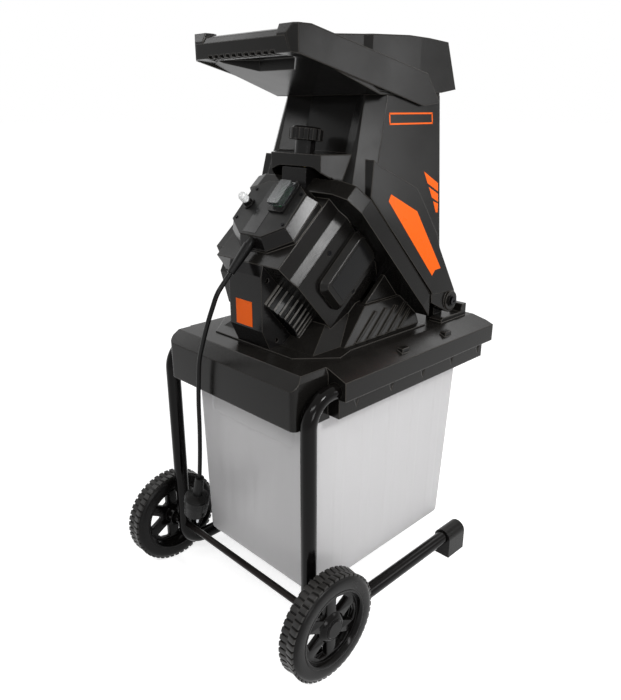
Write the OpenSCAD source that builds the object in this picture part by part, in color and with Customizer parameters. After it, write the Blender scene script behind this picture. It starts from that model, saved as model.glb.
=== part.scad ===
// Garden shredder: a tilting hopper on a slanted motor unit, a moulded deck on a wheeled
// tube frame, and a collecting box that is drawn out from under the deck to the rear.
// Millimetres, +Z up, X across, -Y the operator's side. The origin is on the ground under
// the middle of the machine.

/* [Overall] */
// Depth from the front of the wheels to the rear of the deck
depth = 547; // [535:1:560]
// Height of the deck surface above the ground
deck_top = 489; // [475:1:510]

/* [Running gear] */
// Wheel diameter over the tread
wheel_d = 180; // [170:1:190]
// Wheel width
wheel_w = 37; // [33:1:42]
// Distance between the side frames, centre to centre
track = 346; // [342:1:352]
// Diameter of the frame tube
tube_d = 25; // [23:0.5:27]
// Wall of the frame tube
tube_wall = 1.5; // [1:0.1:2.5]
// Bend radius of the frame tube at its centre line
bend_r = 45; // [40:1:50]
// Height of the foot bar above the ground
foot_z = 41; // [36:1:46]
// Axle diameter
axle_d = 12; // [10:0.5:14]
// Number of spokes in a wheel
spokes = 6; // [5:1:8]
// Number of tread blocks in one row of a tyre
lugs = 36; // [30:1:40]

/* [Deck and box] */
// Wall of the large mouldings
wall = 4; // [3:0.5:5]
// Length of the wide rear part of the deck
flare_len = 401; // [390:1:410]
// Width of the collecting box below its rim
box_w = 300; // [292:1:302]
// Height of the collecting box
box_h = 352; // [330:1:356]
// Wall of the collecting box
box_wall = 2.5; // [2:0.1:3.5]

/* [Motor unit] */
// Slant of the motor axis above the horizontal
tilt = 41; // [40:0.5:42]
// Outside diameter of the motor can
can_d = 115; // [108:1:116]
// Diameter of the motor shaft
shaft_d = 15; // [12:0.5:18]
// Diameter of the cutter disc
disc_d = 200; // [185:1:206]
// Thickness of the cutter disc
disc_t = 10; // [8:0.5:12]
// Number of fins in the curved vent
fins = 11; // [9:1:13]
// Slant of the operator panel
panel_tilt = 45; // [43:0.5:47]
// Width of the operator panel
panel_w = 122; // [114:1:126]

/* [Hopper] */
// Width of the hopper neck at its top
neck_w = 222; // [216:1:226]
// Diameter of the clamp knob
knob_d = 54; // [48:1:60]
// Number of flutes in the clamp knob
flutes = 12; // [8:1:16]
// Diameter of the clamp bolt
bolt_d = 10; // [8:0.5:12]
// Pivot diameter of the hopper hinge
pivot_d = 10; // [8:0.5:12]

/* [Supply cord] */
// Diameter of the cord
cord_d = 7.5; // [6:0.1:8.5]

/* [Fits] */
// Radial clearance of shafts, pins and tubes in their bores
run_fit = 0.05; // [0.02:0.01:0.1]
// Gap between pieces that move past each other
move_gap = 0.5; // [0.4:0.1:1]

/* [Hidden] */
$fn = 64;
eps = 1;

// Running gear
leg_x = track / 2;
leg_y = (wheel_d - depth) / 2;
axle_z = wheel_d / 2;
wheel_x = leg_x + tube_d / 2 + 9.8;
hub_d = 2.8 * axle_d;
rim_r = wheel_d / 2 - 24;
cap_w = tube_d + 10.4;
cap_y = depth / 2 - 82;
cap_len = 52;
cap_h = foot_z + 16;
top_bar_z = deck_top - 32;
bar_in = 188;

// Deck
deck_rear = depth / 2;
deck_front_x = leg_x - tube_d / 2 - 3;
deck_rear_x = leg_x + tube_d / 2 + 7.6;
flare_y = deck_rear - flare_len;
deck_front_y = leg_y - 14.5;
deck_low = deck_top - 83;
ceil_z = deck_top - 49;
bay_x = box_w / 2 + 10;

// Collecting box
box_top = ceil_z - 12;
box_low = box_top - box_h;
box_x = box_w / 2;
box_y0 = leg_y + 33;
box_y1 = deck_rear - 38.5;
rim_t = 4;
rail_t = 4.5;
box_taper = 9;
rib_lean = atan(box_taper / box_h);

// Motor unit: heights are above the deck surface, z along the motor axis is 0 at the parting
disc_y = 45;
disc_h = 173;
front_z = 169;
can_r = can_d / 2;
vent_r = can_r + 8.5;
vent_len = 38;
chamber_r = disc_d / 2 + 7;
chamber_z = 24;
plate_t = 3;
disc_top = 7;
bearing_h = 6;
flange_t = 28;
rear_y = 142.5;
nose_x = 39;
seat_r = 16;
// Half section of the housing across the motor axis, as x and height over the axis
sec = [[74, 100], [79, 75], [88, 60], [90, -45], [72, -85]];
flange = [[86, 111], [112, 103], [127, 76], [141, -152], [141, -230]];

// Operator panel
panel_y = -97.5;
panel_h = 221;
lid_t = 3;
box_t = 17;
switch_x = 25;
switch_v = 13;
rocker_w = 19;
reset_x = -44.5;
reset_v = -5.5;
gland_n = -10;
gland_v = -66;
gland_len = 60;

// Hopper, heights above the deck surface
neck_h = 379;
lean = 0.098;
neck_x = neck_w / 2;
foot_x = neck_x + lean * neck_h;
front_lean = 0.3008;
neck_y = 22.5;
rec = 23;
bay_front = 83;
bay_back = 50;
corner = [26, 22];
hinge_y = 197.5;
hinge_h = 37;
arm_in = 122;
arm_r = 21;
ear_x = arm_in - move_gap;

// Clamp screw: the bracket stands clear over the flange of the housing
bridge_gap = 18.3;
bridge_t = 19;
arch_drop = 30;
arch_half = [[34, 0], [42, -1.5], [56, -8], [72, -24], [86, -arch_drop]];
flange_clear = 2.5;
post_x = 27;
insert_len = 20;
clamp_y = -22;
clamp_tilt = 8;
post_y = clamp_y - 19;
clamp_travel = 6;
collar_d = 32;
collar_top = 19;
knob_h = 20;

// Sub-part to draw, or all

// Coordinates
function yz(z, t) = [disc_y + z * cos(tilt) - t * sin(tilt), disc_h + z * sin(tilt) + t * cos(tilt)];
bridge_h0 = yz(-move_gap, flange[0][1])[1] + bridge_gap;
bridge_h1 = bridge_h0 + bridge_t;
post_h = bridge_h0 - 2.2;
function front_y(h) = neck_y - (neck_h - h) * front_lean;
function side_x(h) = neck_x + lean * (neck_h - h);
function both(p) = concat([for (q = p) [q[0], -q[1]]],
    [for (i = [len(p) - 1 : -1 : 0]) [-p[i][0], -p[i][1]]]);
function inset(p, w) = [for (q = p) [q[0] - w, q[1] > 0 ? q[1] - w : q[1] + w]];

module on_deck() {
    translate([0, 0, deck_top]) children();
}

module in_axis() {
    on_deck() translate([0, disc_y, disc_h]) rotate([tilt - 90, 0, 0]) children();
}

module in_panel() {
    on_deck() translate([0, panel_y, panel_h]) rotate([panel_tilt, 0, 0]) children();
}

module in_clamp() {
    on_deck() translate([0, clamp_y, bridge_h1]) rotate([-clamp_tilt, 0, 0]) children();
}

// Outline in Y and Z drawn out between two X values
module across(x0, x1) {
    translate([x0, 0, 0]) rotate([90, 0, 90]) linear_extrude(x1 - x0) children();
}

// Outline in X and Z drawn out between two Y values
module along(y0, y1) {
    translate([0, y1, 0]) rotate([90, 0, 0]) linear_extrude(y1 - y0) children();
}

module pair() {
    children();
    mirror([1, 0, 0]) children();
}

module rounded(w, d, r) {
    square([w - 2 * r, d], center = true);
    square([w, d - 2 * r], center = true);
    for (x = [-1, 1])
        for (y = [-1, 1])
            translate([x * (w / 2 - r), y * (d / 2 - r)]) circle(r);
}

// Running gear
module tube_run(d, extra) {
    translate([0, leg_y, foot_z + bend_r]) cylinder(d = d, h = top_bar_z - foot_z - 2 * bend_r);
    translate([0, leg_y + bend_r, foot_z + bend_r])
        rotate([90, 0, 90]) rotate([0, 0, 180])
            rotate_extrude(angle = 90) translate([bend_r, 0]) circle(d = d);
    translate([0, leg_y + bend_r, top_bar_z - bend_r])
        rotate([90, 0, 90]) rotate([0, 0, 90])
            rotate_extrude(angle = 90) translate([bend_r, 0]) circle(d = d);
    translate([0, leg_y + bend_r, foot_z]) rotate([-90, 0, 0])
        cylinder(d = d, h = cap_y + cap_len - wall - leg_y - bend_r + extra);
    translate([0, leg_y + bend_r, top_bar_z]) rotate([-90, 0, 0])
        cylinder(d = d, h = flare_y + bar_in - leg_y - bend_r + extra);
}

module side_frame() {
    color("#141414") translate([leg_x, 0, 0]) difference() {
        tube_run(tube_d, 0);
        tube_run(tube_d - 2 * tube_wall, eps);
        translate([-tube_d, leg_y, axle_z]) rotate([0, 90, 0])
            cylinder(d = axle_d + 2 * run_fit, h = 2 * tube_d);
    }
}

module frame_left() {
    mirror([1, 0, 0]) side_frame();
}

module frame_right() {
    side_frame();
}

module axle() {
    color("#3a3a3c") translate([0, leg_y, axle_z]) rotate([0, 90, 0])
        cylinder(d = axle_d, h = 2 * (wheel_x + wheel_w - 8), center = true);
}

module axle_spacers() {
    color("#202022") pair() difference() {
        translate([leg_x, leg_y, axle_z]) rotate([0, 90, 0])
            cylinder(d = axle_d + 8, h = wheel_x - leg_x - move_gap);
        translate([leg_x, leg_y, axle_z]) rotate([0, 90, 0])
            cylinder(d = axle_d + 2 * run_fit, h = wheel_x);
        translate([leg_x, leg_y, foot_z]) cylinder(d = tube_d, h = 2 * axle_z);
    }
}

module foot_caps() {
    color("#18181a") pair() translate([leg_x, 0, 0]) difference() {
        along(cap_y, cap_y + cap_len) {
            translate([-cap_w / 2, 0]) square([cap_w, cap_h - cap_w / 2]);
            translate([0, cap_h - cap_w / 2]) circle(d = cap_w);
        }
        translate([0, cap_y - eps, foot_z]) rotate([-90, 0, 0])
            cylinder(d = tube_d + 2 * run_fit, h = cap_len - wall + eps);
        translate([-cap_w / 2 + wall, cap_y + wall, -eps])
            cube([cap_w - 2 * wall, cap_len - 2 * wall, foot_z - tube_d / 2 - wall + eps]);
    }
}

// Wheel with its axis on Z, inner face at 0
module rim() {
    difference() {
        union() {
            cylinder(d = hub_d, h = wheel_w - 4);
            rotate_extrude()
                polygon([[rim_r - 7, 3], [rim_r, 0], [rim_r, wheel_w], [rim_r - 5, wheel_w - 1], [rim_r - 9, 25],
                    [rim_r - 9, 12]]);
            translate([0, 0, 12]) linear_extrude(12)
                for (i = [0 : spokes - 1])
                    rotate(i * 360 / spokes + 90)
                        polygon([[axle_d, -10], [rim_r - 6, -8], [rim_r - 6, 8], [axle_d, 10]]);
        }
        translate([0, 0, -eps]) cylinder(d = axle_d + 2 * run_fit, h = wheel_w + 2 * eps);
    }
}

module tread_row(turn) {
    rotate(turn) difference() {
        circle(d = wheel_d);
        for (i = [0 : lugs - 1])
            rotate(i * 360 / lugs) translate([wheel_d / 2 - 4.5, -1.5]) square([10, 3]);
    }
}

module tyre() {
    difference() {
        union() {
            translate([0, 0, 2]) linear_extrude(wheel_w / 2 - 3) tread_row(0);
            translate([0, 0, wheel_w / 2 - 1.5]) cylinder(d = wheel_d - 13, h = 3);
            translate([0, 0, wheel_w / 2 + 1]) linear_extrude(wheel_w / 2 - 3) tread_row(180 / lugs);
            cylinder(d = wheel_d - 16, h = wheel_w);
        }
        translate([0, 0, -eps]) cylinder(r = rim_r, h = wheel_w + 2 * eps);
    }
}

module hub_cap() {
    translate([0, 0, wheel_w - 4]) difference() {
        rotate_extrude() polygon([[0, 0], [hub_d / 2, 0], [hub_d / 2, 2], [hub_d / 2 - 3, 4], [0, 4]]);
        translate([0, 0, -eps]) cylinder(d = axle_d + 4, h = eps + 1.5);
    }
}

module on_axle() {
    translate([wheel_x, leg_y, axle_z]) rotate([0, 90, 0]) children();
}

module wheel_left() {
    color("#1b1b1d") mirror([1, 0, 0]) on_axle() rim();
}

module wheel_right() {
    color("#1b1b1d") on_axle() rim();
}

module tyre_left() {
    color("#0e0e0f") mirror([1, 0, 0]) on_axle() tyre();
}

module tyre_right() {
    color("#0e0e0f") on_axle() tyre();
}

module hub_cap_left() {
    color("#232325") mirror([1, 0, 0]) on_axle() hub_cap();
}

module hub_cap_right() {
    color("#232325") on_axle() hub_cap();
}

// Deck with its hollow underside, tube sockets, hinge ears, saddles and clip tabs
module deck_body() {
    // front block, chamfered to the operator
    intersection() {
        across(-deck_front_x, deck_front_x)
            polygon([[deck_front_y, deck_low], [deck_front_y, deck_top - 20], [deck_front_y + 19, deck_top],
                [flare_y + 20, deck_top], [flare_y + 20, deck_low]]);
        along(deck_front_y - eps, flare_y + 30)
            polygon([[-deck_front_x, deck_low], [deck_front_x, deck_low], [deck_front_x, deck_top - 9],
                [deck_front_x - 5, deck_top], [5 - deck_front_x, deck_top], [-deck_front_x, deck_top - 9]]);
        translate([0, deck_front_y + 200, deck_low - eps]) linear_extrude(deck_top)
            rounded(2 * deck_front_x, 400, 10);
    }
    // wide rear part
    intersection() {
        along(flare_y, deck_rear)
            polygon(concat(flare_half(1), flare_half(-1)));
        across(-deck_rear_x, deck_rear_x)
            polygon([[flare_y, deck_low + 7], [flare_y, deck_top], [deck_rear - 9, deck_top],
                [deck_rear, deck_top - 9], [deck_rear, deck_top - 45], [deck_rear - 12, deck_top - 45],
                [deck_rear - 12, deck_low + 7]]);
    }
    // clip tabs on the sloping margin
    pair() for (y = [20, 138])
        translate([leg_x - 3, y, deck_top - 10]) cube([11, 17, 8]);
    // saddles under the hopper arms
    pair() on_deck() across(arm_in, side_x(0) - 1)
        polygon([[173, -eps], [173, 5], [180, 8], [234, 8], [238, 22], [250, 22], [250, -eps]]);
    // hinge ears between the arms
    pair() on_deck() difference() {
        across(ear_x - 16, ear_x) {
            translate([hinge_y, hinge_h]) circle(13);
            translate([hinge_y - 13, -eps]) square([26, hinge_h + eps]);
        }
        translate([0, hinge_y, hinge_h]) rotate([0, 90, 0])
            cylinder(d = pivot_d + 2 * run_fit, h = ear_x + eps);
    }
}

function flare_half(s) = [for (p = s > 0 ? flare_side() : flare_back()) [s * p[0], p[1]]];
function flare_side() = [[leg_x - 19, deck_top], [deck_rear_x, deck_top - 14.5], [deck_rear_x, deck_top - 45],
    [deck_rear_x - 12.5, deck_top - 45], [deck_rear_x - 12.5, deck_low + 7]];
function flare_back() = [for (i = [len(flare_side()) - 1 : -1 : 0]) flare_side()[i]];

module deck() {
    color("#1d1d1f") difference() {
        deck_body();
        // bay for the box, open to the rear
        translate([wall - deck_front_x, deck_front_y + wall, deck_low - eps])
            cube([2 * (deck_front_x - wall), flare_y - deck_front_y, ceil_z - deck_low + eps]);
        translate([-bay_x, flare_y + wall, deck_low - eps])
            cube([2 * bay_x, deck_rear - flare_y, ceil_z - deck_low + eps]);
        // hollow above the ceiling
        translate([-box_x, deck_front_y + 24, ceil_z - eps])
            cube([2 * box_x, deck_rear - deck_front_y - 24 - 14, deck_top - wall - ceil_z + eps]);
        // chip chute
        translate([-80, 62, ceil_z]) cube([160, 76, 2 * wall + deck_top - ceil_z]);
        // tube sockets
        pair() translate([leg_x, flare_y - eps, top_bar_z]) rotate([-90, 0, 0])
            cylinder(d = tube_d + 2 * run_fit, h = bar_in + eps);
        // pockets that keep the margin thin
        pair() translate([bay_x + wall, flare_y + wall, deck_low])
            cube([deck_rear_x - 12.5 - bay_x - 2 * wall, flare_len - 12 - 2 * wall, 33]);
        // pointed recesses along the lower band
        pair() for (i = [0 : 4])
            translate([deck_rear_x - 12.5 - 1.5, flare_y + 32 + i * 84, deck_top - 50]) rotate([90, 0, 90])
                linear_extrude(4) polygon([[0, 0], [14, 0], [7, -17]]);
    }
}

module box_rails() {
    color("#2a2a2c") pair() along(flare_y + 10, box_y1 - 6)
        polygon([[bay_x, ceil_z], [bay_x, box_top - rim_t - rail_t - move_gap],
            [box_x + 1.2, box_top - rim_t - rail_t - move_gap], [box_x + 1.2, box_top - rim_t - move_gap],
            [bay_x - 1.8, box_top - rim_t - move_gap], [bay_x - 1.8, ceil_z]]);
}

module tub(grow, z0, z1) {
    hull() {
        translate([0, (box_y0 + box_y1) / 2, z1 - 1]) linear_extrude(1)
            rounded(box_w - 2 * grow, box_y1 - box_y0 - 2 * grow, 16 - grow, $fn = 32);
        translate([0, (box_y0 + box_y1 - 17) / 2 + 2, z0]) linear_extrude(1)
            rounded(box_w - 2 * box_taper - 2 * grow, box_y1 - box_y0 - 21 - 2 * grow, 14 - grow, $fn = 32);
    }
}

module box() {
    color("#d9dbde") difference() {
        union() {
            tub(0, box_low, box_top);
            // rim that hangs in the rails
            pair() translate([box_x - 6, flare_y + 12, box_top - rim_t])
                cube([bay_x - 1.8 - move_gap - box_x + 6, box_y1 - flare_y - 34, rim_t]);
            // upright ribs on both flanks
            pair() for (i = [0 : 4])
                translate([box_x - 14.1, box_y0 + 52 + i * 66, box_low + 12]) rotate([0, rib_lean, 0])
                    cube([6, 22, box_h - 30]);
        }
        tub(box_wall, box_low + box_wall, box_top + eps);
        // grip panel in the front wall
        translate([0, box_y0 - 1.4, box_top - 58]) rotate([-90, 0, 0]) linear_extrude(1.6 + eps)
            difference() {
                rounded(210, 60, 12);
                rounded(202, 52, 9);
            }
    }
}

// Motor unit
module housing_body() {
    in_axis() translate([0, 0, -front_z]) linear_extrude(front_z - 8) polygon(both(sec));
    in_axis() translate([0, 0, -flange_t]) linear_extrude(flange_t - move_gap) polygon(both(flange));
    on_deck() intersection() {
        across(-150, 150) polygon([[-54, 0], [20, 53], [150, 53], [150, 0]]);
        along(-100, 160) polygon([[-120, 0], [120, 0], [99, 53], [-99, 53]]);
    }
    on_deck() intersection() {
        across(-150, 150) polygon([[-116, 0], [-50, 40], [60, 40], [60, 0]]);
        along(-120, 80) polygon([[-112, 0], [112, 0], [80, 40], [-80, 40]]);
    }
    on_deck() linear_extrude(2)
        polygon(both([[95, 142.5], [144, 86.5], [132, 49.5], [134, -118], [134, -150]]));
    in_panel() translate([0, 0, -lid_t - box_t - 25]) linear_extrude(25) polygon(base_plan(0));
    // cheeks below the motor, closing the sides down to the base
    pair() on_deck() across(84, 92)
        polygon([[-60, 0], yz(-120, -80), yz(-10, -80), [rear_y, 60], [rear_y, 0]]);
    // slanted ribs of the side base panel
    pair() on_deck() intersection() {
        across(80, 130) for (i = [0 : 4])
            translate([i * 27, 0]) polygon([[-26, 4], [-19.5, 4], [43, 40], [37, 41.5]]);
        along(-40, 126) polygon([[90, 3], [123, 3], [106, 46], [90, 46]]);
    }
}

module motor_housing() {
    color("#1c1c1e") difference() {
        intersection() {
            housing_body();
            on_deck() translate([-200, -200, 0]) cube([400, 200 + rear_y, 400]);
        }
        in_axis() translate([0, 0, -chamber_z]) cylinder(r = chamber_r, h = chamber_z + eps);
        in_axis() translate([0, 0, -chamber_z - 4 - eps]) cylinder(r = disc_d / 2, h = 4 + 2 * eps);
        in_axis() translate([0, 0, wall - front_z]) linear_extrude(front_z - chamber_z - 2 * wall)
            polygon(both(inset(sec, wall)));
        in_axis() translate([0, 0, -front_z - eps]) cylinder(r = can_r + 1, h = wall + 2 * eps);
        on_deck() translate([-80, 62, -eps]) cube([160, 76, 75]);
        // hollow of the base
        on_deck() intersection() {
            across(-150, 150) polygon([[-46, 2], [18, 48], [58, 48], [58, 2]]);
            along(-100, 160) polygon([[-114, 2], [114, 2], [94, 48], [-94, 48]]);
        }
        on_deck() intersection() {
            across(-150, 150) polygon([[-104, 2], [-48, 35], [20, 35], [20, 2]]);
            along(-120, 80) polygon([[-104, 2], [104, 2], [77, 35], [-77, 35]]);
        }
        // room for nose cover and vent
        on_deck() across(-nose_x, nose_x) nose_outline();
        in_axis() translate([0, 0, -front_z - vent_len - move_gap])
            cylinder(r = vent_r + move_gap, h = vent_len + move_gap);
        // screw pockets
        in_axis() screw_spots() translate([0, 0, -2]) cylinder(d = 9, h = 40);
        // post foot
        post_solid();
    }
}

// Recessed screws on the flanks, drawn out along X
module screw_spots() {
    pair() {
        translate([89, 41, -95]) rotate([0, 90, 0]) children();
        translate([89, -48, -90]) rotate([0, 90, 0]) children();
    }
}

module housing_screws() {
    color("#55565a") in_axis() screw_spots() translate([0, 0, -2]) difference() {
        cylinder(d = 9 - 2 * run_fit, h = 2);
        translate([0, 0, 0.8]) cylinder(d = 4, h = 3, $fn = 6);
    }
}

module nose_outline() {
    polygon([[-138.5, 2], [-152.5, 33], [-152.5, 120], yz(-front_z, 100), yz(-front_z, -80)]);
}

module nose_cover() {
    color("#1a1a1c") difference() {
        on_deck() intersection() {
            across(-nose_x, nose_x) nose_outline();
            translate([-60, -200, 2]) cube([120, 300, 200]);
        }
        in_axis() translate([0, 0, -front_z - vent_len - 0.2]) cylinder(r = can_r + 3.2, h = vent_len + eps);
        in_axis() translate([-60, 0, -front_z - vent_len - 0.2]) cube([120, 120, vent_len + eps]);
        in_axis() translate([0, 0, -front_z - vent_len - 0.2]) pair() rotate(-55)
            translate([can_r, -4.2, 0]) cube([vent_r - can_r + 1, 8.4, vent_len + 0.2]);
        on_deck() for (p = [[-140, 113], [-123, 13]])
            translate([33, p[0], p[1]]) rotate([0, 90, 0]) cylinder(d = 7, h = 10);
    }
}

// Section of the curved vent: a ring that carries fins on both sides, each row ended by a block
module vent_section() {
    difference() {
        union() {
            circle(r = can_r + 3);
            pair() {
                for (i = [0 : fins - 1])
                    rotate(-(i - (fins - 1) / 2) * 96 / (fins - 1))
                        translate([can_r + 1.6, -1.3]) square([vent_r - can_r - 1.9, 2.6]);
                rotate(-55) translate([can_r + 1.6, -4]) square([vent_r - can_r - 1.9, 8]);
            }
        }
        circle(r = can_r + 1);
    }
}

module vent_grille() {
    color("#131315") intersection() {
        in_axis() translate([0, 0, -front_z - vent_len]) {
            linear_extrude(vent_len) vent_section();
            cylinder(r = can_r + 2, h = 3);
        }
        on_deck() translate([-200, -300, 2]) cube([400, 400, 300]);
    }
}

module cover_plan(w) {
    translate([84, 0]) rounded(124 - 2 * w, 68 - 2 * w, 16 - w, $fn = 32);
}

module side_cover() {
    color("#202022") in_axis() difference() {
        translate([86, 0, 0]) rotate([0, 90, 0]) hull() {
            linear_extrude(8) cover_plan(0);
            linear_extrude(17) cover_plan(9);
        }
        translate([0, 0, -front_z]) linear_extrude(front_z) polygon(both(sec));
        translate([0, 0, -flange_t]) cylinder(r = 200, h = flange_t);
        screw_spots() translate([0, 0, -9]) cylinder(d = 9.4, h = 40);
    }
}

module capacitor_cover() {
    color("#1a1a1c") difference() {
        in_axis() translate([-102, 0, 0]) rotate([0, 90, 0]) linear_extrude(40)
            polygon([[198, -3], [172, -56], [158, -62], [148, -92], [90, -92], [68, -60], [68, 30], [186, 30]]);
        in_axis() translate([0, 0, -front_z]) linear_extrude(front_z) polygon(both(sec));
        in_axis() translate([0, 0, -front_z - vent_len - move_gap]) cylinder(r = vent_r + 3, h = vent_len + 2);
        in_panel() translate([0, 0, -lid_t - box_t - 25]) linear_extrude(80) polygon(base_plan(1));
        in_axis() screw_spots() translate([0, 0, -9]) cylinder(d = 9.4, h = 40);
    }
}

module motor_can() {
    color("#8d9094") in_axis() difference() {
        translate([0, 0, -front_z - 21]) cylinder(r = can_r, h = front_z + 21 - chamber_z - 4);
        translate([0, 0, -front_z - 6]) cylinder(r = can_r - 2.5, h = front_z);
        translate([0, 0, -front_z - 17]) cylinder(r = seat_r, h = 20);
        translate([0, 0, -front_z - 22]) cylinder(r = shaft_d / 2 + 2, h = 20);
    }
}

module stator() {
    color("#7a4a2a") in_axis() translate([0, 0, -150]) difference() {
        cylinder(r = can_r - 2.5, h = 80);
        translate([0, 0, -eps]) cylinder(r = 30, h = 80 + 2 * eps);
        for (i = [0 : 11])
            rotate(i * 30) translate([28, -3, -eps]) cube([13, 6, 80 + 2 * eps]);
    }
}

module rotor() {
    color("#a3a6aa") in_axis() {
        translate([0, 0, -152]) cylinder(r = 29, h = 84);
        translate([0, 0, -front_z - 16]) cylinder(d = shaft_d, h = front_z + 16 - disc_top - 2);
    }
}

module bearings() {
    color("#c2c5c8") in_axis() for (z = [-front_z - 17, -chamber_z - 4]) translate([0, 0, z]) difference() {
        cylinder(r = seat_r, h = bearing_h);
        translate([0, 0, -eps]) cylinder(d = shaft_d + 2 * run_fit, h = 12);
    }
}

module fan() {
    color("#303134") in_axis() translate([0, 0, -front_z - 4]) difference() {
        union() {
            cylinder(d = shaft_d + 12, h = 14);
            cylinder(r = can_r - 8, h = 2);
            for (i = [0 : 7])
                rotate(i * 45) translate([shaft_d / 2 + 2, -1.2, 0]) cube([can_r - 12 - shaft_d / 2, 2.4, 12]);
        }
        translate([0, 0, -eps]) cylinder(d = shaft_d, h = 20);
    }
}

module motor_plate() {
    color("#9a9da1") in_axis() difference() {
        union() {
            translate([0, 0, -chamber_z]) cylinder(r = chamber_r - 3, h = plate_t);
            translate([0, 0, -chamber_z - 4]) cylinder(r = can_r, h = 4 + eps);
        }
        translate([0, 0, -chamber_z - 4 - eps]) cylinder(r = seat_r, h = bearing_h + eps);
        translate([0, 0, -chamber_z - 5]) cylinder(d = shaft_d + 4, h = 20);
    }
}

module cutter_disc() {
    color("#8e9195") in_axis() translate([0, 0, -disc_top - disc_t]) difference() {
        union() {
            cylinder(d = disc_d, h = disc_t);
            translate([0, 0, -2]) cylinder(d = shaft_d + 18, h = 4);
        }
        translate([0, 0, -4]) cylinder(d = shaft_d, h = disc_t + 4 - 2);
        for (a = [0, 180])
            rotate(a) translate([shaft_d + 12, -26, -5]) cube([disc_d / 2 - shaft_d - 22, 16, 30]);
        for (a = [0, 180])
            rotate(a) for (x = [42, 72]) translate([x, 4, -5]) cylinder(d = 6, h = 30);
    }
}

module blades() {
    color("#c9ccd0") in_axis() translate([0, 0, -disc_top]) for (a = [0, 180]) rotate(a) difference() {
        translate([shaft_d + 10, -14, 0]) cube([disc_d / 2 - shaft_d - 18, 32, 3.5]);
        translate([shaft_d + 9, -14, -1]) rotate([-38, 0, 0]) translate([0, -10, -3]) cube([90, 10, 14]);
        for (x = [42, 72]) translate([x, 4, -eps]) cylinder(d = 6, h = 8);
    }
}

module blade_screws() {
    color("#45464a") in_axis() translate([0, 0, -disc_top - disc_t]) for (a = [0, 180]) rotate(a)
        for (x = [42, 72]) translate([x, 4, 0]) {
            cylinder(d = 6, h = disc_t + 3.5);
            translate([0, 0, disc_t + 3.5]) cylinder(d = 9, h = 2);
        }
}

// Operator panel: plan of the lid and of the foot of the control box
function lid_plan() = [[25, 60], [panel_w / 2, 37], [panel_w / 2, -26], [34, -43]];
function base_plan(g) = both([[30 + g, 72 + g], [panel_w / 2 + 11 + g, 45 + g], [panel_w / 2 + 11 + g, -28 - g],
    [40 + g, -46 - g]]);

module box_shape(w, more) {
    hull() {
        translate([0, 0, -lid_t - 0.5 + more]) linear_extrude(0.5) polygon(both([for (p = lid_plan())
            [p[0] - w, p[1] > 0 ? p[1] - w : p[1] + w]]));
        translate([0, 0, -lid_t - box_t - more]) linear_extrude(0.5) polygon(base_plan(-w));
    }
}

module control_box() {
    color("#1e1e20") in_panel() difference() {
        box_shape(0, 0);
        difference() {
            box_shape(3, eps);
            lid_spots() translate([0, 0, -30]) cylinder(d = 8, h = 40);
        }
        translate([0, gland_v + 30, gland_n]) rotate([90, 0, 0]) cylinder(d = 13, h = 60);
        lid_spots() translate([0, 0, -12]) cylinder(d = 3, h = 20);
    }
}

module lid_spots() {
    for (p = [[-54, -33], [54, -33], [-50, 24], [53, 24]]) translate([p[0], p[1], 0]) children();
}

module control_lid() {
    color("#17171a") in_panel() difference() {
        translate([0, 0, -lid_t]) linear_extrude(lid_t) polygon(both(lid_plan()));
        translate([switch_x, switch_v, -lid_t - eps]) linear_extrude(lid_t + 2 * eps) rounded(27, 45, 2);
        translate([reset_x, reset_v, -lid_t - eps]) cylinder(d = 12, h = lid_t + 2 * eps);
        lid_spots() translate([0, 0, -10]) cylinder(d = 3, h = 20);
    }
}

module lid_screws() {
    color("#5c5d61") in_panel() lid_spots() {
        translate([0, 0, -8]) cylinder(d = 3, h = 8);
        difference() {
            cylinder(d = 5.6, h = 1.6);
            translate([0, 0, 0.6]) cylinder(d = 2.6, h = 2, $fn = 6);
        }
    }
}

module in_switch() {
    in_panel() translate([switch_x, switch_v, 0]) children();
}

module switch_body() {
    color("#121214") in_switch() difference() {
        union() {
            linear_extrude(5) rounded(34, 56, 4);
            translate([0, 0, -15]) linear_extrude(15.5) rounded(27, 45, 2);
            // hinge lugs of the clear cover
            for (x = [-15, 15]) translate([x - 1.5, 22.6, 4]) cube([3, 4.4, 6.5]);
        }
        translate([0, 0, -12]) linear_extrude(20) rounded(rocker_w + 2 * move_gap, 38 + 2 * move_gap, 1.5);
        translate([-20, 24.5, 8]) rotate([0, 90, 0]) cylinder(d = 2.2, h = 40);
    }
}

// Rocker that tips about a pin across the switch
module rocker() {
    color("#0f7a3a") in_switch() intersection() {
        translate([-rocker_w / 2, 0, -30]) rotate([90, 0, 90]) linear_extrude(rocker_w) translate([0, 28.5])
            polygon([[-18.5, -6], [-18.5, 8], [0, 5.5], [18.5, 10.5], [18.5, -6]]);
        translate([-rocker_w / 2, 0, 0]) rotate([0, 90, 0]) cylinder(r = 18.9, h = rocker_w);
    }
}

module switch_flap() {
    color("#cfd6da") in_switch() {
        difference() {
            translate([0, 0, 5 + move_gap]) linear_extrude(12) rounded(25, 44, 4);
            translate([0, 0, 5]) linear_extrude(10.5 + move_gap) rounded(22, 41, 2.5);
            translate([-20, -30, 0]) cube([40, 12, 10]);
        }
        translate([-12, 20.6, 7]) cube([24, 4, 2]);
        translate([-16.5, 24.5, 8]) rotate([0, 90, 0]) cylinder(d = 2.2 - 2 * run_fit, h = 33);
    }
}

module in_reset() {
    in_panel() translate([reset_x, reset_v, 0]) children();
}

module reset_base() {
    color("#2b2b2e") in_reset() difference() {
        union() {
            cylinder(d = 20, h = 3);
            translate([0, 0, 3]) cylinder(d = 15, h = 5);
            translate([0, 0, -12]) cylinder(d = 12, h = 13);
        }
        translate([0, 0, -8]) cylinder(d = 9 + 2 * move_gap, h = 20);
    }
}

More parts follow.
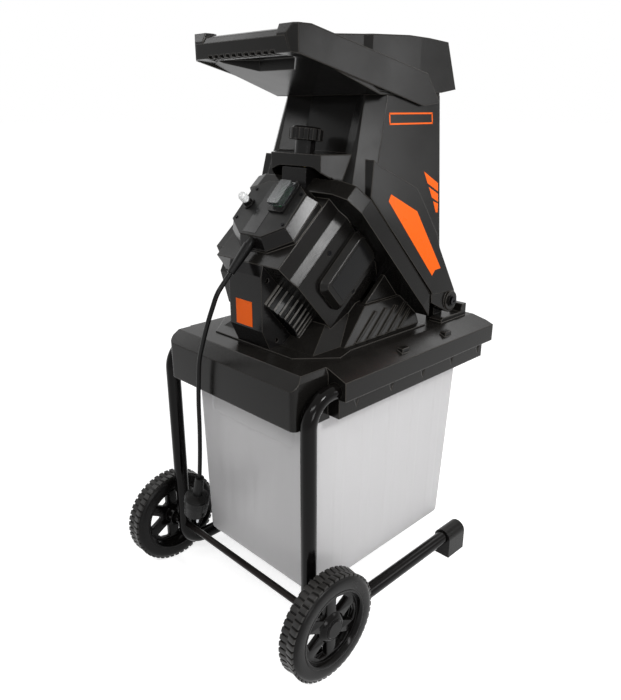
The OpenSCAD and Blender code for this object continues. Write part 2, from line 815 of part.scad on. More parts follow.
module reset_button() {
    color("#c6c9cc") in_reset() {
        translate([0, 0, -5]) cylinder(d = 9, h = 16);
        rotate_extrude() polygon([[0, 11], [7, 11], [7, 20], [5, 23.5], [0, 23.5]]);
    }
}

module strain_relief() {
    color("#151517") in_panel() translate([0, gland_v, gland_n]) rotate([90, 0, 0]) difference() {
        union() {
            translate([0, 0, -10]) cylinder(d = 13, h = 18);
            translate([0, 0, 7.5]) cylinder(d1 = 17, d2 = cord_d + 4, h = gland_len - 7.5);
        }
        translate([0, 0, gland_len - 4]) cylinder(d = cord_d, h = 5);
    }
}

// Supply cord: hand-laid route from the strain relief to the plug, in millimetres
gland_end = [0, panel_y + (gland_v - gland_len + 4) * cos(panel_tilt) - gland_n * sin(panel_tilt),
    deck_top + panel_h + (gland_v - gland_len + 4) * sin(panel_tilt) + gland_n * cos(panel_tilt)];
route = [gland_end, gland_end + [0, -12, -12], [-2, -204, 586], [-8, -211, 562], [-18, -214, 536],
    [-34, -214, 500], [-47, -213, 468], [-54, -212, 432], [-58, -212, 390], [-60, -212, 340],
    [-64, -212, 290], [-70, -212, 240]];
sides = 12;
steps = 5;
function route_at(i) = route[max(0, min(len(route) - 1, i))];
function blend(a, b, c, d, u) = 0.5 * (2 * b + (c - a) * u + (2 * a - 5 * b + 4 * c - d) * u * u
    + (3 * b - a - 3 * c + d) * u * u * u);
line = [for (i = [0 : len(route) - 2]) for (k = [0 : steps - 1])
    blend(route_at(i - 1), route_at(i), route_at(i + 1), route_at(i + 2), k / steps), route[len(route) - 1]];
function heading(i) = let (d = line[min(len(line) - 1, i + 1)] - line[max(0, i - 1)]) d / norm(d);
function ring(i) = let (t = heading(i), u = cross(t, [1, 0, 0]), a = u / norm(u), b = cross(t, a))
    [for (k = [0 : sides - 1]) line[i] + cord_d / 2 * (cos(360 * k / sides) * a + sin(360 * k / sides) * b)];

module cord() {
    rings = [for (i = [0 : len(line) - 1]) each ring(i)];
    last = (len(line) - 1) * sides;
    walls = [for (i = [0 : len(line) - 2]) for (k = [0 : sides - 1])
        [i * sides + k, i * sides + (k + 1) % sides, (i + 1) * sides + (k + 1) % sides, (i + 1) * sides + k]];
    color("#101012") polyhedron(rings, concat([[for (k = [sides - 1 : -1 : 0]) k]], walls,
        [[for (k = [0 : sides - 1]) last + k]]));
}

// Plug hanging on the cord, its pins down
module in_plug() {
    translate(route[len(route) - 1]) rotate([0, 15, 0]) children();
}

module plug() {
    color("#141416") in_plug() difference() {
        rotate_extrude() polygon([[0, 4], [cord_d / 2 + 4, 4], [cord_d / 2 + 4.5, -2], [9, -34], [17, -37],
            [21, -39], [22.5, -43], [22, -56], [20, -78], [0, -78]]);
        cylinder(d = cord_d, h = 5);
        pair() translate([9.5, 0, -79]) cylinder(d = 4.8, h = 13);
        pair() translate([17.5, -3, -79]) cube([6, 6, 15]);
    }
}

module plug_pins() {
    color("#c8cacd") in_plug() pair() translate([9.5, 0, -97]) {
        translate([0, 0, 2]) cylinder(d = 4.8, h = 29);
        cylinder(d1 = 3, d2 = 4.8, h = 2);
    }
}

// Post on the housing that takes the clamp bolt, with its foot let into the roof
module post_solid() {
    difference() {
        on_deck() translate([0, post_y, 0]) across(-post_x, post_x)
            polygon([[-11, post_h - 73.5], [22, post_h - 73.5], [29, post_h], [-4, post_h]]);
        in_axis() translate([0, 0, -front_z]) linear_extrude(front_z - 8) polygon(both(inset(sec, 12)));
        in_axis() translate([0, 0, -chamber_z - 4]) cylinder(r = chamber_r + wall, h = chamber_z + 8);
    }
}

module post_bore(d, h) {
    in_clamp() translate([0, 0, -h - (bridge_h1 - post_h) / cos(clamp_tilt) + 4]) cylinder(d = d, h = h + 8);
}

module clamp_post() {
    color("#2a2522") difference() {
        post_solid();
        post_bore(bolt_d + 6, insert_len);
    }
}

module post_insert() {
    color("#a08a4a") difference() {
        intersection() {
            post_bore(bolt_d + 6, insert_len);
            on_deck() translate([-20, -100, 0]) cube([40, 200, post_h - 0.5]);
        }
        post_bore(bolt_d + 2 * move_gap, 40);
    }
}

// Hopper
module hopper_profile() {
    polygon([[neck_y, neck_h], [front_y(yz(move_gap, 95)[1]), yz(move_gap, 95)[1]], yz(move_gap, 88),
        yz(move_gap, -148), [rear_y + 1.5, 56], [212, 52], [170, 134], [177.5, neck_h]]);
}

module hopper_section(w) {
    polygon([[w - foot_x, 0], [foot_x - w, 0], [neck_x - w, neck_h + eps], [w - neck_x, neck_h + eps]]);
}

module hopper_inner() {
    polygon([[neck_y + rec + wall, neck_h + eps], [front_y(240) + rec + wall, 240], yz(8, 66), yz(8, -146),
        [203, 58], [170 - wall, 134], [177.5 - wall, neck_h + eps]]);
}

module arm_profile() {
    polygon([[rear_y + 2, 66], [rear_y + 2, 42], [184, 21], [212, 52], [170, 134]]);
    translate([hinge_y, hinge_h]) circle(arm_r);
}

// Thicker lower flank of the hopper
module flank_profile() {
    polygon([[4, 287], [15, 279], [108, 239], [117, 227], [161, 159], [168, 134], [210, 53], [rear_y + 1.5, 57.5],
        yz(move_gap, -147), yz(move_gap, 80)]);
}

// Leaning front of the neck: Z up along the slope, Y into the neck
module in_front() {
    translate([0, neck_y, neck_h]) rotate([-atan(front_lean), 0, 0]) children();
}

// Broad facets that take off the front corners of the neck
module corner_cut() {
    turn = atan2(corner[1], corner[0]);
    on_deck() pair() translate([side_x(0) - corner[0], front_y(0), 0]) rotate([0, 0, turn])
        rotate([-atan(lean * sin(turn) + front_lean * cos(turn)), 0, 0])
            translate([-200, -80, -100]) cube([400, 80, 700]);
}

// Opening under the bracket, arched between its two legs
module arch() {
    translate([0, bridge_h0]) polygon(concat([[arch_half[4][0], -80]], [for (i = [4 : -1 : 0]) arch_half[i]],
        [for (p = arch_half) [-p[0], p[1]]], [[-arch_half[4][0], -80]]));
}

module hopper() {
    color("#1b1b1d") difference() {
        union() {
            difference() {
                on_deck() intersection() {
                    across(-200, 200) hopper_profile();
                    along(-100, 300) hopper_section(0);
                }
                corner_cut();
            }
            pair() on_deck() intersection() {
                across(arm_in, 200) arm_profile();
                along(-100, 300) hopper_section(0);
            }
            pair() on_deck() intersection() {
                across(100, 200) flank_profile();
                along(-100, 300) hopper_section(-2.5);
            }
            // stepped bosses of the hinge
            pair() on_deck() translate([arm_in, hinge_y, hinge_h]) rotate([0, 90, 0])
                cylinder(r = 17, h = side_x(hinge_h) - arm_in + 4);
            // arch bracket that carries the clamp, its legs ending clear over the flange
            difference() {
                on_deck() translate([0, 0, bridge_h0 - arch_drop]) linear_extrude(bridge_t + arch_drop)
                    polygon(both([[56, 43], [84, 2], [84, -22]]));
                in_axis() translate([-150, -flange[0][1] - flange_clear, -100]) cube([300, 400, 101 + move_gap]);
            }
        }
        on_deck() intersection() {
            across(-200, 200) hopper_inner();
            along(-100, 300) hopper_section(wall);
        }
        // bay between the front columns, above and below the bracket
        on_deck() intersection() {
            in_front() linear_extrude(2 * neck_h, center = true)
                polygon(both([[bay_front, 60], [bay_front, 0], [bay_back, -rec * cos(atan(front_lean))]]));
            translate([-100, -100, bridge_h1]) cube([200, 200, neck_h - bridge_h1 + eps]);
        }
        on_deck() intersection() {
            across(-80, 80) polygon([[-60, 235], [front_y(250) + 12, 235],
                [front_y(bridge_h0) + 16, bridge_h0 + eps], [-60, bridge_h0 + eps]]);
            along(-100, 100) arch();
        }
        // hollow of the bracket round the bolt boss
        on_deck() translate([0, 0, bridge_h0 - arch_drop]) linear_extrude(bridge_t - 6 + arch_drop) difference() {
            polygon(both([[48, 39], [48, 6]]));
            translate([0, clamp_y - 1]) circle(20);
        }
        // feed opening and seat of the wear plate
        in_axis() translate([-60, -58, -eps]) cube([120, 100, 14]);
        in_axis() translate([-100, -66, -eps]) cube([200, 200, 3 + move_gap + eps]);
        // clamp bore
        in_clamp() translate([0, 0, -clamp_travel - 4]) cylinder(d = collar_d + 2 * move_gap, h = 40);
        in_clamp() translate([0, 0, -40]) cylinder(d = bolt_d + 2 * move_gap, h = 60);
        // hinge bush seats
        pair() on_deck() translate([arm_in - eps, hinge_y, hinge_h]) rotate([0, 90, 0])
            cylinder(d = pivot_d + 10, h = 60);
    }
}

module wear_plate() {
    color("#9b9ea2") in_axis() difference() {
        translate([-100, -66, move_gap]) cube([200, 200, 3]);
        translate([-60, -58, -eps]) cube([120, 100, 14]);
        translate([-90, 120, -eps]) cube([180, 30, 14]);
    }
}

// Feed hood and guard, heights above the top of the neck
module on_neck() {
    on_deck() translate([0, 0, neck_h]) children();
}

module hood_plan(w) {
    polygon(both([[97.5 - w, 152], [112 - w, 141], [119.5 - w, -170]]));
}

module hood() {
    color("#1a1a1c") on_neck() difference() {
        union() {
            intersection() {
                translate([0, 0, -40]) linear_extrude(140) difference() {
                    hood_plan(0);
                    hood_plan(4);
                }
                across(-140, 140) polygon([[-147, 49], [-151, 72], [-145, 84], [-118, 84], [131, 32], [167, -11],
                    [126, -16], [22, 9]]);
            }
            // corner posts that end the handle bar
            intersection() {
                translate([0, 0, -40]) linear_extrude(140) hood_plan(0);
                pair() linear_extrude(100)
                    polygon([[80, -160], [130, -160], [130, -112], [106, -112], [84, -122], [80, -130]]);
                across(-140, 140)
                    polygon([[-147, 49], [-151, 72], [-145, 84], [-118, 84], [-110, 72], [-110, 44]]);
            }
            // handle bar and sloping feed floor
            intersection() {
                translate([0, 0, -40]) linear_extrude(140) hood_plan(3);
                across(-140, 140) polygon([[-147, 49], [-151, 69], [-146, 77], [-138, 79.5], [-127, 77],
                    [24, wall + 0.4], [24, 0], [-122, 47]]);
            }
            // collar that sits on the neck
            linear_extrude(wall + 0.4) difference() {
                polygon(both([[neck_x - 1, -22.6], [neck_x - 1, -178]]));
                polygon(both([[neck_x - 8, -51], [neck_x - 8, -172]]));
            }
            // side tongues from the collar to the walls
            pair() translate([neck_x - 2, 60, 0]) cube([7, 90, wall + 0.4]);
        }
        // finger pocket behind the handle bar
        hull() {
            translate([0, 0, 21]) linear_extrude(28) polygon(both([[79, 126], [79, 116], [38, 79]]));
            translate([-2, -121, 51]) cube([4, 18, 8]);
        }
        // ribbed underside of the handle bar
        for (i = [-5 : 5]) translate([i * 13.6 - 4.8, -160, 45]) cube([9.6, 27, 8]);
    }
}

module guard_plan(w) {
    polygon(both([[102 - w, 76], [104 - w, 5], [109 - w, -9], [112 - w, -120], [112.5 - w, -240]]));
}

module guard() {
    color("#1c1c1e") on_neck() difference() {
        intersection() {
            linear_extrude(200) guard_plan(0);
            across(-140, 140) polygon([[-75, 55], [21, 9], [24, wall + 0.4], [180, wall + 0.4], [219.5, 10],
                [190.5, 80], [140, 83], [90, 84], [5, 80.5], [-75, 76]]);
        }
        intersection() {
            translate([0, 0, -100]) linear_extrude(300) guard_plan(3.5);
            across(-140, 140) polygon([[-120, -79], [172, -79], [175, wall + 6], [213, 15], [185.5, 101],
                [-120, 101]]);
        }
    }
}

// Captive clamp screw
module clamp_knob() {
    color("#161618") in_clamp() translate([0, 0, collar_top]) difference() {
        union() {
            linear_extrude(knob_h - 3) difference() {
                circle(d = knob_d);
                for (i = [0 : flutes - 1])
                    rotate(i * 360 / flutes) translate([knob_d / 2 + 2.2, 0]) circle(d = 9);
            }
            translate([0, 0, knob_h - 3]) cylinder(d1 = knob_d - 6, d2 = knob_d - 12, h = 3);
        }
        translate([0, 0, -eps]) cylinder(d = bolt_d, h = knob_h - 6 + eps);
    }
}

module clamp_bolt() {
    color("#8a8d91") in_clamp() {
        translate([0, 0, -18]) cylinder(d = bolt_d, h = collar_top + knob_h - 6 + 18);
        translate([0, 0, -19.5]) cylinder(d1 = bolt_d - 3, d2 = bolt_d, h = 1.5);
    }
}

module clamp_collar() {
    color("#1e1e20") in_clamp() difference() {
        translate([0, 0, -3]) cylinder(d = collar_d, h = collar_top + 3 - 0.3);
        translate([0, 0, -4]) cylinder(d = bolt_d + 2 * run_fit, h = 40);
    }
}

// Hopper hinge
module hinge_bushes() {
    color("#2c2c2f") pair() on_deck() translate([arm_in, hinge_y, hinge_h]) rotate([0, 90, 0]) difference() {
        cylinder(d = pivot_d + 10, h = side_x(hinge_h) - arm_in + 6);
        translate([0, 0, -eps]) cylinder(d = pivot_d + 2 * run_fit, h = 60);
    }
}

module hinge_screws() {
    color("#4a4b4f") pair() on_deck() translate([ear_x - 15, hinge_y, hinge_h]) rotate([0, 90, 0]) {
        cylinder(d = pivot_d, h = side_x(hinge_h) - ear_x + 15 + 7);
        translate([0, 0, side_x(hinge_h) - ear_x + 15 + 6 + move_gap + 0.5]) difference() {
            cylinder(d = pivot_d + 6, h = 3);
            translate([0, 0, 1.2]) cylinder(d = pivot_d / 2, h = 4, $fn = 6);
        }
    }
}

frame_left();
frame_right();
axle();
axle_spacers();
foot_caps();
wheel_left();
wheel_right();
tyre_left();
tyre_right();
hub_cap_left();
hub_cap_right();
deck();
box_rails();
box();
motor_housing();
nose_cover();
vent_grille();
side_cover();
capacitor_cover();
housing_screws();
motor_can();
stator();
rotor();
bearings();
fan();
motor_plate();
cutter_disc();
blades();
blade_screws();
control_box();
control_lid();
lid_screws();
switch_body();
rocker();
switch_flap();
reset_base();
reset_button();
strain_relief();
cord();
plug();
plug_pins();
clamp_post();
post_insert();
hopper();
wear_plate();
hood();
guard();
clamp_knob();
clamp_bolt();
clamp_collar();
hinge_bushes();
hinge_screws();
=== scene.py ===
import math

import bmesh
import bpy
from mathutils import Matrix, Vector


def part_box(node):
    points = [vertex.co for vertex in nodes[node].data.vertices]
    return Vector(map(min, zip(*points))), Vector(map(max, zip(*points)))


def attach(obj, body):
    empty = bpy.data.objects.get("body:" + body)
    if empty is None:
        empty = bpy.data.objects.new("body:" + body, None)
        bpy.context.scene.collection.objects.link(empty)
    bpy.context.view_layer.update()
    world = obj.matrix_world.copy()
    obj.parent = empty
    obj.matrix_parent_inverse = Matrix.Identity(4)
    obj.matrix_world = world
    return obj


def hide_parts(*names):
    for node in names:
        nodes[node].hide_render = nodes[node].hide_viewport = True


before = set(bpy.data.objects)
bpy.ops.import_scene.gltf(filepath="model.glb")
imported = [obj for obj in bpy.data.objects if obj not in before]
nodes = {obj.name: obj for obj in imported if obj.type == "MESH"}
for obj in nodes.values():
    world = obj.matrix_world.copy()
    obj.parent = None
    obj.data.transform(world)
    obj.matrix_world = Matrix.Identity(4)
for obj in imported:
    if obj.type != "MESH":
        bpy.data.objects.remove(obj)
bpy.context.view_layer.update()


# Side frames. Each side is one steel tube, bent at the foot and at the top, and powder-coated
# gloss black. The top bar is pushed into a socket in the deck.
def linear(code):
    """Linear colour of a six-digit screen colour."""
    parts = [int(code[i : i + 2], 16) / 255 for i in (0, 2, 4)]
    return [p / 12.92 if p <= 0.04045 else ((p + 0.055) / 1.055) ** 2.4 for p in parts] + [1.0]


def put(tree, kind, inputs=None, **settings):
    """A node with its settings, its sockets set to values or linked to other sockets."""
    made = tree.nodes.new(kind)
    for key, value in settings.items():
        setattr(made, key, value)
    for socket, value in (inputs or {}).items():
        if isinstance(value, bpy.types.NodeSocket):
            tree.links.new(value, made.inputs[socket])
        else:
            made.inputs[socket].default_value = value
    return made


def new_group(name, kind, inputs, outputs):
    """An empty node group with named sockets, and its input and output nodes."""
    group = bpy.data.node_groups.new(name, kind)
    for label, socket in inputs:
        group.interface.new_socket(label, in_out="INPUT", socket_type="NodeSocket" + socket)
    for label, socket in outputs:
        group.interface.new_socket(label, in_out="OUTPUT", socket_type="NodeSocket" + socket)
    return group, group.nodes.new("NodeGroupInput").outputs, group.nodes.new("NodeGroupOutput").inputs


def blank(name):
    """A material with an empty node tree."""
    material = bpy.data.materials.new(name)
    material.use_nodes = True
    material.node_tree.nodes.clear()
    return material, material.node_tree


# Rounded arris: the normal of a softened edge, and a mask that is 1 along it.
soft_edge, given, result = new_group(
    "soft_edge", "ShaderNodeTree", [("Radius", "Float")], [("Mask", "Float"), ("Normal", "Vector")]
)
rounded = put(soft_edge, "ShaderNodeBevel", {"Radius": given["Radius"]}, samples=8)
flat = put(soft_edge, "ShaderNodeNewGeometry")
turn = put(
    soft_edge,
    "ShaderNodeVectorMath",
    {0: rounded.outputs["Normal"], 1: flat.outputs["Normal"]},
    operation="DOT_PRODUCT",
)
arris = put(
    soft_edge,
    "ShaderNodeMapRange",
    {"Value": turn.outputs["Value"], "From Min": 0.995, "From Max": 0.85, "To Min": 0.0, "To Max": 1.0},
)
soft_edge.links.new(arris.outputs["Result"], result["Mask"])
soft_edge.links.new(rounded.outputs["Normal"], result["Normal"])

# Fine grain of a moulded or coated skin, with a broad mottle that varies colour and gloss.
skin_grain, given, result = new_group(
    "skin_grain", "ShaderNodeTree", [("Scale", "Float")], [("Height", "Float"), ("Mottle", "Float")]
)
spot = put(skin_grain, "ShaderNodeTexCoord").outputs["Object"]
cells = put(skin_grain, "ShaderNodeTexVoronoi", {"Vector": spot, "Scale": given["Scale"]})
fine = put(skin_grain, "ShaderNodeTexNoise", {"Vector": spot, "Scale": given["Scale"], "Detail": 3.0})
broad = put(
    skin_grain,
    "ShaderNodeTexNoise",
    {"Vector": spot, "Scale": 14.0, "Detail": 4.0, "Roughness": 0.6},
)
height = put(
    skin_grain,
    "ShaderNodeMath",
    {0: cells.outputs["Distance"], 1: fine.outputs[0]},
    operation="ADD",
)
skin_grain.links.new(height.outputs[0], result["Height"])
skin_grain.links.new(broad.outputs[0], result["Mottle"])

# Thin dust that settles on faces turned upwards.
settled_dust, given, result = new_group(
    "settled_dust", "ShaderNodeTree", [("Amount", "Float")], [("Mask", "Float")]
)
spot = put(settled_dust, "ShaderNodeTexCoord").outputs["Object"]
cloud = put(
    settled_dust,
    "ShaderNodeTexNoise",
    {"Vector": spot, "Scale": 38.0, "Detail": 6.0, "Roughness": 0.7},
)
surface = put(settled_dust, "ShaderNodeNewGeometry")
facing = put(settled_dust, "ShaderNodeSeparateXYZ", {0: surface.outputs["Normal"]})
upward = put(
    settled_dust,
    "ShaderNodeMapRange",
    {"Value": facing.outputs["Z"], "From Min": 0.35, "From Max": 1.0, "To Min": 0.0, "To Max": 1.0},
)
lies = put(settled_dust, "ShaderNodeMath", {0: upward.outputs[0], 1: cloud.outputs[0]}, operation="MULTIPLY")
thin = put(settled_dust, "ShaderNodeMath", {0: lies.outputs[0], 1: given["Amount"]}, operation="MULTIPLY")
settled_dust.links.new(thin.outputs[0], result["Mask"])


def coated(
    name,
    colour,
    wear_and_highlight_colour,
    rough,
    grain,
    depth,
    edge,
    dust=0.06,
    spread=0.1,
    wear_and_highlight=0.35,
    mottle=0.72,
    **shader,
):
    """Moulded, coated or cast skin: grain in the bump, mottle in colour and gloss, soft edges lightened
    partly as wear and partly as painted highlight.
    """
    material, tree = blank(name)
    rim = put(tree, "ShaderNodeGroup", node_tree=soft_edge)
    rim.inputs["Radius"].default_value = edge
    skin = put(tree, "ShaderNodeGroup", node_tree=skin_grain)
    skin.inputs["Scale"].default_value = grain
    film = put(tree, "ShaderNodeGroup", node_tree=settled_dust)
    film.inputs["Amount"].default_value = dust
    dark = [c * mottle for c in linear(colour)[:3]] + [1.0]
    tone = put(
        tree,
        "ShaderNodeMix",
        {0: skin.outputs["Mottle"], 6: dark, 7: linear(colour)},
        data_type="RGBA",
    )
    # The edge colour lightens every arris, convex and concave alike: partly wear, partly a painted highlight
    # of the rounded edges.
    wear_and_highlight_mask = put(tree, "ShaderNodeMath", {0: rim.outputs["Mask"], 1: wear_and_highlight}, operation="MULTIPLY")
    wear_and_highlight_tone = put(
        tree,
        "ShaderNodeMix",
        {0: wear_and_highlight_mask.outputs[0], 6: tone.outputs[2], 7: linear(wear_and_highlight_colour)},
        data_type="RGBA",
    )
    dusted = put(
        tree,
        "ShaderNodeMix",
        {0: film.outputs["Mask"], 6: wear_and_highlight_tone.outputs[2], 7: linear("a39c90")},
        data_type="RGBA",
    )
    gloss = put(
        tree,
        "ShaderNodeMapRange",
        {
            "Value": skin.outputs["Mottle"],
            "From Min": 0.3,
            "From Max": 0.7,
            "To Min": max(0.02, rough - spread),
            "To Max": min(1.0, rough + spread),
        },
    )
    bump = put(
        tree,
        "ShaderNodeBump",
        {
            "Height": skin.outputs["Height"],
            "Normal": rim.outputs["Normal"],
            "Strength": 0.5,
            "Distance": depth,
        },
    )
    body = put(
        tree,
        "ShaderNodeBsdfPrincipled",
        {
            "Base Color": dusted.outputs[2],
            "Roughness": gloss.outputs[0],
            "Normal": bump.outputs[0],
            **{key.replace("_", " ").title().replace("Ior", "IOR"): value for key, value in shader.items()},
        },
    )
    put(tree, "ShaderNodeOutputMaterial", {"Surface": body.outputs[0]})
    return material


def dress(material, *names):
    """Gives CAD nodes a material."""
    for name in names:
        nodes[name].data.materials.clear()
        nodes[name].data.materials.append(material)


black_coat = coated(
    "black_powder_coat", "070606", "121110",
    rough=0.12, grain=900, depth=0.00002, edge=0.0006,
    dust=0.01, spread=0.04, specular_ior_level=0.11,
)
dress(black_coat, "frame_left", "frame_right")


# Axle, spacers and feet. A drawn steel rod runs through both legs, moulded sleeves keep the wheels off the
# tubes, and hollow moulded feet push onto the ends of the foot bars.
def metal(name, colour, rough, stretch=(1.0, 1.0, 1.0), scale=260.0):
    """Bare metal with fine tool marks drawn out along one direction."""
    material, tree = blank(name)
    spot = put(tree, "ShaderNodeTexCoord").outputs["Object"]
    turned = put(tree, "ShaderNodeMapping", {"Vector": spot, "Scale": stretch})
    marks = put(
        tree,
        "ShaderNodeTexNoise",
        {"Vector": turned.outputs[0], "Scale": scale, "Detail": 4.0, "Roughness": 0.7},
    )
    rim = put(tree, "ShaderNodeGroup", node_tree=soft_edge)
    rim.inputs["Radius"].default_value = 0.0004
    dark = [c * 0.7 for c in linear(colour)[:3]] + [1.0]
    tone = put(tree, "ShaderNodeMix", {0: marks.outputs[0], 6: dark, 7: linear(colour)}, data_type="RGBA")
    gloss = put(
        tree,
        "ShaderNodeMapRange",
        {
            "Value": marks.outputs[0],
            "From Min": 0.3,
            "From Max": 0.7,
            "To Min": rough - 0.08,
            "To Max": rough + 0.1,
        },
    )
    bump = put(
        tree,
        "ShaderNodeBump",
        {"Height": marks.outputs[0], "Normal": rim.outputs["Normal"], "Strength": 0.3, "Distance": 0.00005},
    )
    body = put(
        tree,
        "ShaderNodeBsdfPrincipled",
        {
            "Base Color": tone.outputs[2],
            "Metallic": 1.0,
            "Roughness": gloss.outputs[0],
            "Normal": bump.outputs[0],
        },
    )
    put(tree, "ShaderNodeOutputMaterial", {"Surface": body.outputs[0]})
    return material


dark_steel = metal("dark_axle_steel", "262322", 0.34, (1.0, 30.0, 30.0))
dress(dark_steel, "axle")
trim = coated(
    "black_trim_plastic", "0d0c0c", "4a4846",
    rough=0.26, grain=1400, depth=0.00004, edge=0.0008,
    dust=0.02, specular_ior_level=0.13,
)
dress(trim, "axle_spacers", "foot_caps")


# Wheels. Each is one gloss black moulding: a deep rim, six broad webs with rounded windows between them,
# and a hub that turns on the axle. A push-on cap closes the hub.
def finished(name, bm, material, body, slot, *stands_for, smooth=35):
    """A finished mesh object that rides on a body and takes the place of CAD nodes."""
    mesh = bpy.data.meshes.new(name)
    bmesh.ops.remove_doubles(bm, verts=bm.verts, dist=1e-6)
    bmesh.ops.recalc_face_normals(bm, faces=bm.faces)
    bm.to_mesh(mesh)
    bm.free()
    mesh.materials.clear()
    mesh.materials.append(material)
    mesh.polygons.foreach_set("use_smooth", [True] * len(mesh.polygons))
    mesh.set_sharp_from_angle(angle=math.radians(smooth))
    made = bpy.data.objects.new(name, mesh)
    bpy.context.scene.collection.objects.link(made)
    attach(made, body)
    if stands_for:
        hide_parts(*stands_for)
    return made


def lathe(bm, profile, steps, centre, side=1.0):
    """A closed profile of (axial, radius) points turned about an X axis through centre."""
    rings = []
    for i in range(steps):
        angle = 2 * math.pi * i / steps
        rings.append(
            [
                bm.verts.new(centre + Vector((side * a, r * math.cos(angle), r * math.sin(angle))))
                for a, r in profile
            ]
        )
    for i in range(steps):
        here, there = rings[i], rings[(i + 1) % steps]
        for k in range(len(profile)):
            n = (k + 1) % len(profile)
            bm.faces.new((here[k], there[k], there[n], here[n]))


def eased(points, radius, steps=5):
    """A closed outline with every corner rounded."""
    line = []
    for i, here in enumerate(points):
        before = (points[i - 1] - here).normalized()
        after = (points[(i + 1) % len(points)] - here).normalized()
        half_angle = before.angle(after) / 2
        reach = radius / math.tan(half_angle)
        middle = here + (before + after).normalized() * (radius / math.sin(half_angle))
        first, last = here + before * reach - middle, here + after * reach - middle
        for k in range(steps + 1):
            line.append(middle + (first * (steps - k) + last * k).normalized() * radius)
    return line


def plate(outlines, half, bevel):
    """A flat plate with rounded edges, cut from closed outlines. The inner ones are windows."""
    curve = bpy.data.curves.new("plate", "CURVE")
    curve.dimensions = "2D"
    curve.fill_mode = "BOTH"
    curve.extrude = half - bevel
    curve.bevel_depth = bevel
    curve.bevel_resolution = 2
    for outline in outlines:
        spline = curve.splines.new("POLY")
        spline.points.add(len(outline) - 1)
        for point, place in zip(spline.points, outline):
            point.co = (place.x, place.y, 0.0, 1.0)
        spline.use_cyclic_u = True
    holder = bpy.data.objects.new("plate", curve)
    bpy.context.scene.collection.objects.link(holder)
    bpy.context.view_layer.update()
    mesh = bpy.data.meshes.new_from_object(holder.evaluated_get(bpy.context.evaluated_depsgraph_get()))
    bpy.data.objects.remove(holder)
    bpy.data.curves.remove(curve)
    return mesh


wheel_plastic = coated(
    "wheel_plastic", "080707", "1c1b1b",
    rough=0.16, grain=1100, depth=0.00003, edge=0.0012,
    dust=0.01, spread=0.06, specular_ior_level=0.1,
)
dress(wheel_plastic, "hub_cap_left", "hub_cap_right")
low, high = (Vector(corner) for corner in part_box("tyre_right"))
wheel_centre = (low + high) / 2
wheel_half = (high.x - low.x) / 2
spokes = 6
seat_r, hub_r, bore_r = 0.0658, 0.0168, 0.0062
window_in, window_out, web = 0.0255, 0.0525, 0.0088
window_peak, window_corner = window_out * 1.04, 0.0036
web_r, web_half, web_edge, web_axial = 0.0585, 0.0055, 0.0018, 0.0045
hub_gap = 0.0003
rim_steps, hub_steps = 96, 48
rim = [(-wheel_half, seat_r), (-wheel_half, 0.0635), (-0.0155, 0.0595), (-0.007, 0.0575), (0.004, 0.0572)]
rim += [(0.0125, 0.0598), (0.0165, 0.0612), (0.018, 0.0622), (0.0184, 0.0636), (0.0184, seat_r)]
hub = [(-wheel_half, bore_r), (-wheel_half, hub_r - 0.001), (-0.0175, hub_r)]
hub += [(0.0145, hub_r), (0.0145, bore_r)]
boss_r = hub_r + hub_gap
boss = [(0.0, boss_r), (0.0, 0.0265), (0.0098, 0.0258), (0.0125, 0.0232), (0.0158, 0.0195), (0.0162, boss_r)]
turns = [2 * math.pi * i / rim_steps for i in range(rim_steps)]
compass = [Vector((math.cos(a), math.sin(a))) for a in turns]
outlines = [[way * web_r for way in compass], [way * boss_r for way in compass]]
for i in range(spokes):
    corners = []
    for r, way in ((window_in, -1), (window_out, -1), (window_peak, 0), (window_out, 1), (window_in, 1)):
        a = 2 * math.pi * (i + 0.5) / spokes + math.pi / 2 + way * (math.pi / spokes - math.asin(web / r))
        corners.append(Vector((math.cos(a), math.sin(a))) * r)
    outlines.append(eased(corners, window_corner))
for side, sign in (("left", -1.0), ("right", 1.0)):
    centre = Vector((sign * wheel_centre.x, wheel_centre.y, wheel_centre.z))
    bm = bmesh.new()
    bm.from_mesh(plate(outlines, web_half, web_edge))
    for v in bm.verts:
        v.co = centre + Vector((sign * (v.co.z + web_axial), v.co.x, v.co.y))
    lathe(bm, rim, rim_steps, centre, sign)
    lathe(bm, hub, hub_steps, centre, sign)
    lathe(bm, boss, hub_steps, centre, sign)
    finished("rim_" + side, bm, wheel_plastic, side + "_wheel", "trim_plastic", "wheel_" + side)


# Tyres. Hard black rubber pressed over the rims, with two staggered rows of close blocks on a crowned
# carcass and a broad smooth wall.
def block(name, size, top, bevel, fall=0.0):
    """A tapered block along X with its foot on the YZ plane. Its top falls to one end along Z."""
    bm = bmesh.new()
    bmesh.ops.create_cube(bm, size=1.0)
    for v in bm.verts:
        narrow = top if v.co.x > 0 else 1.0
        lower = max(0.0, fall * v.co.z * 2) if v.co.x > 0 else 0.0
        high = (v.co.x + 0.5) * size[0] - lower
        v.co = Vector((high, v.co.y * size[1] * narrow, v.co.z * size[2] * (narrow + 1) / 2))
    bmesh.ops.bevel(bm, geom=bm.edges[:], offset=bevel, segments=2, profile=0.6, affect="EDGES")
    mesh = bpy.data.meshes.new(name)
    bm.to_mesh(mesh)
    bm.free()
    made = bpy.data.objects.new(name, mesh)
    bpy.context.scene.collection.objects.link(made)
    return made


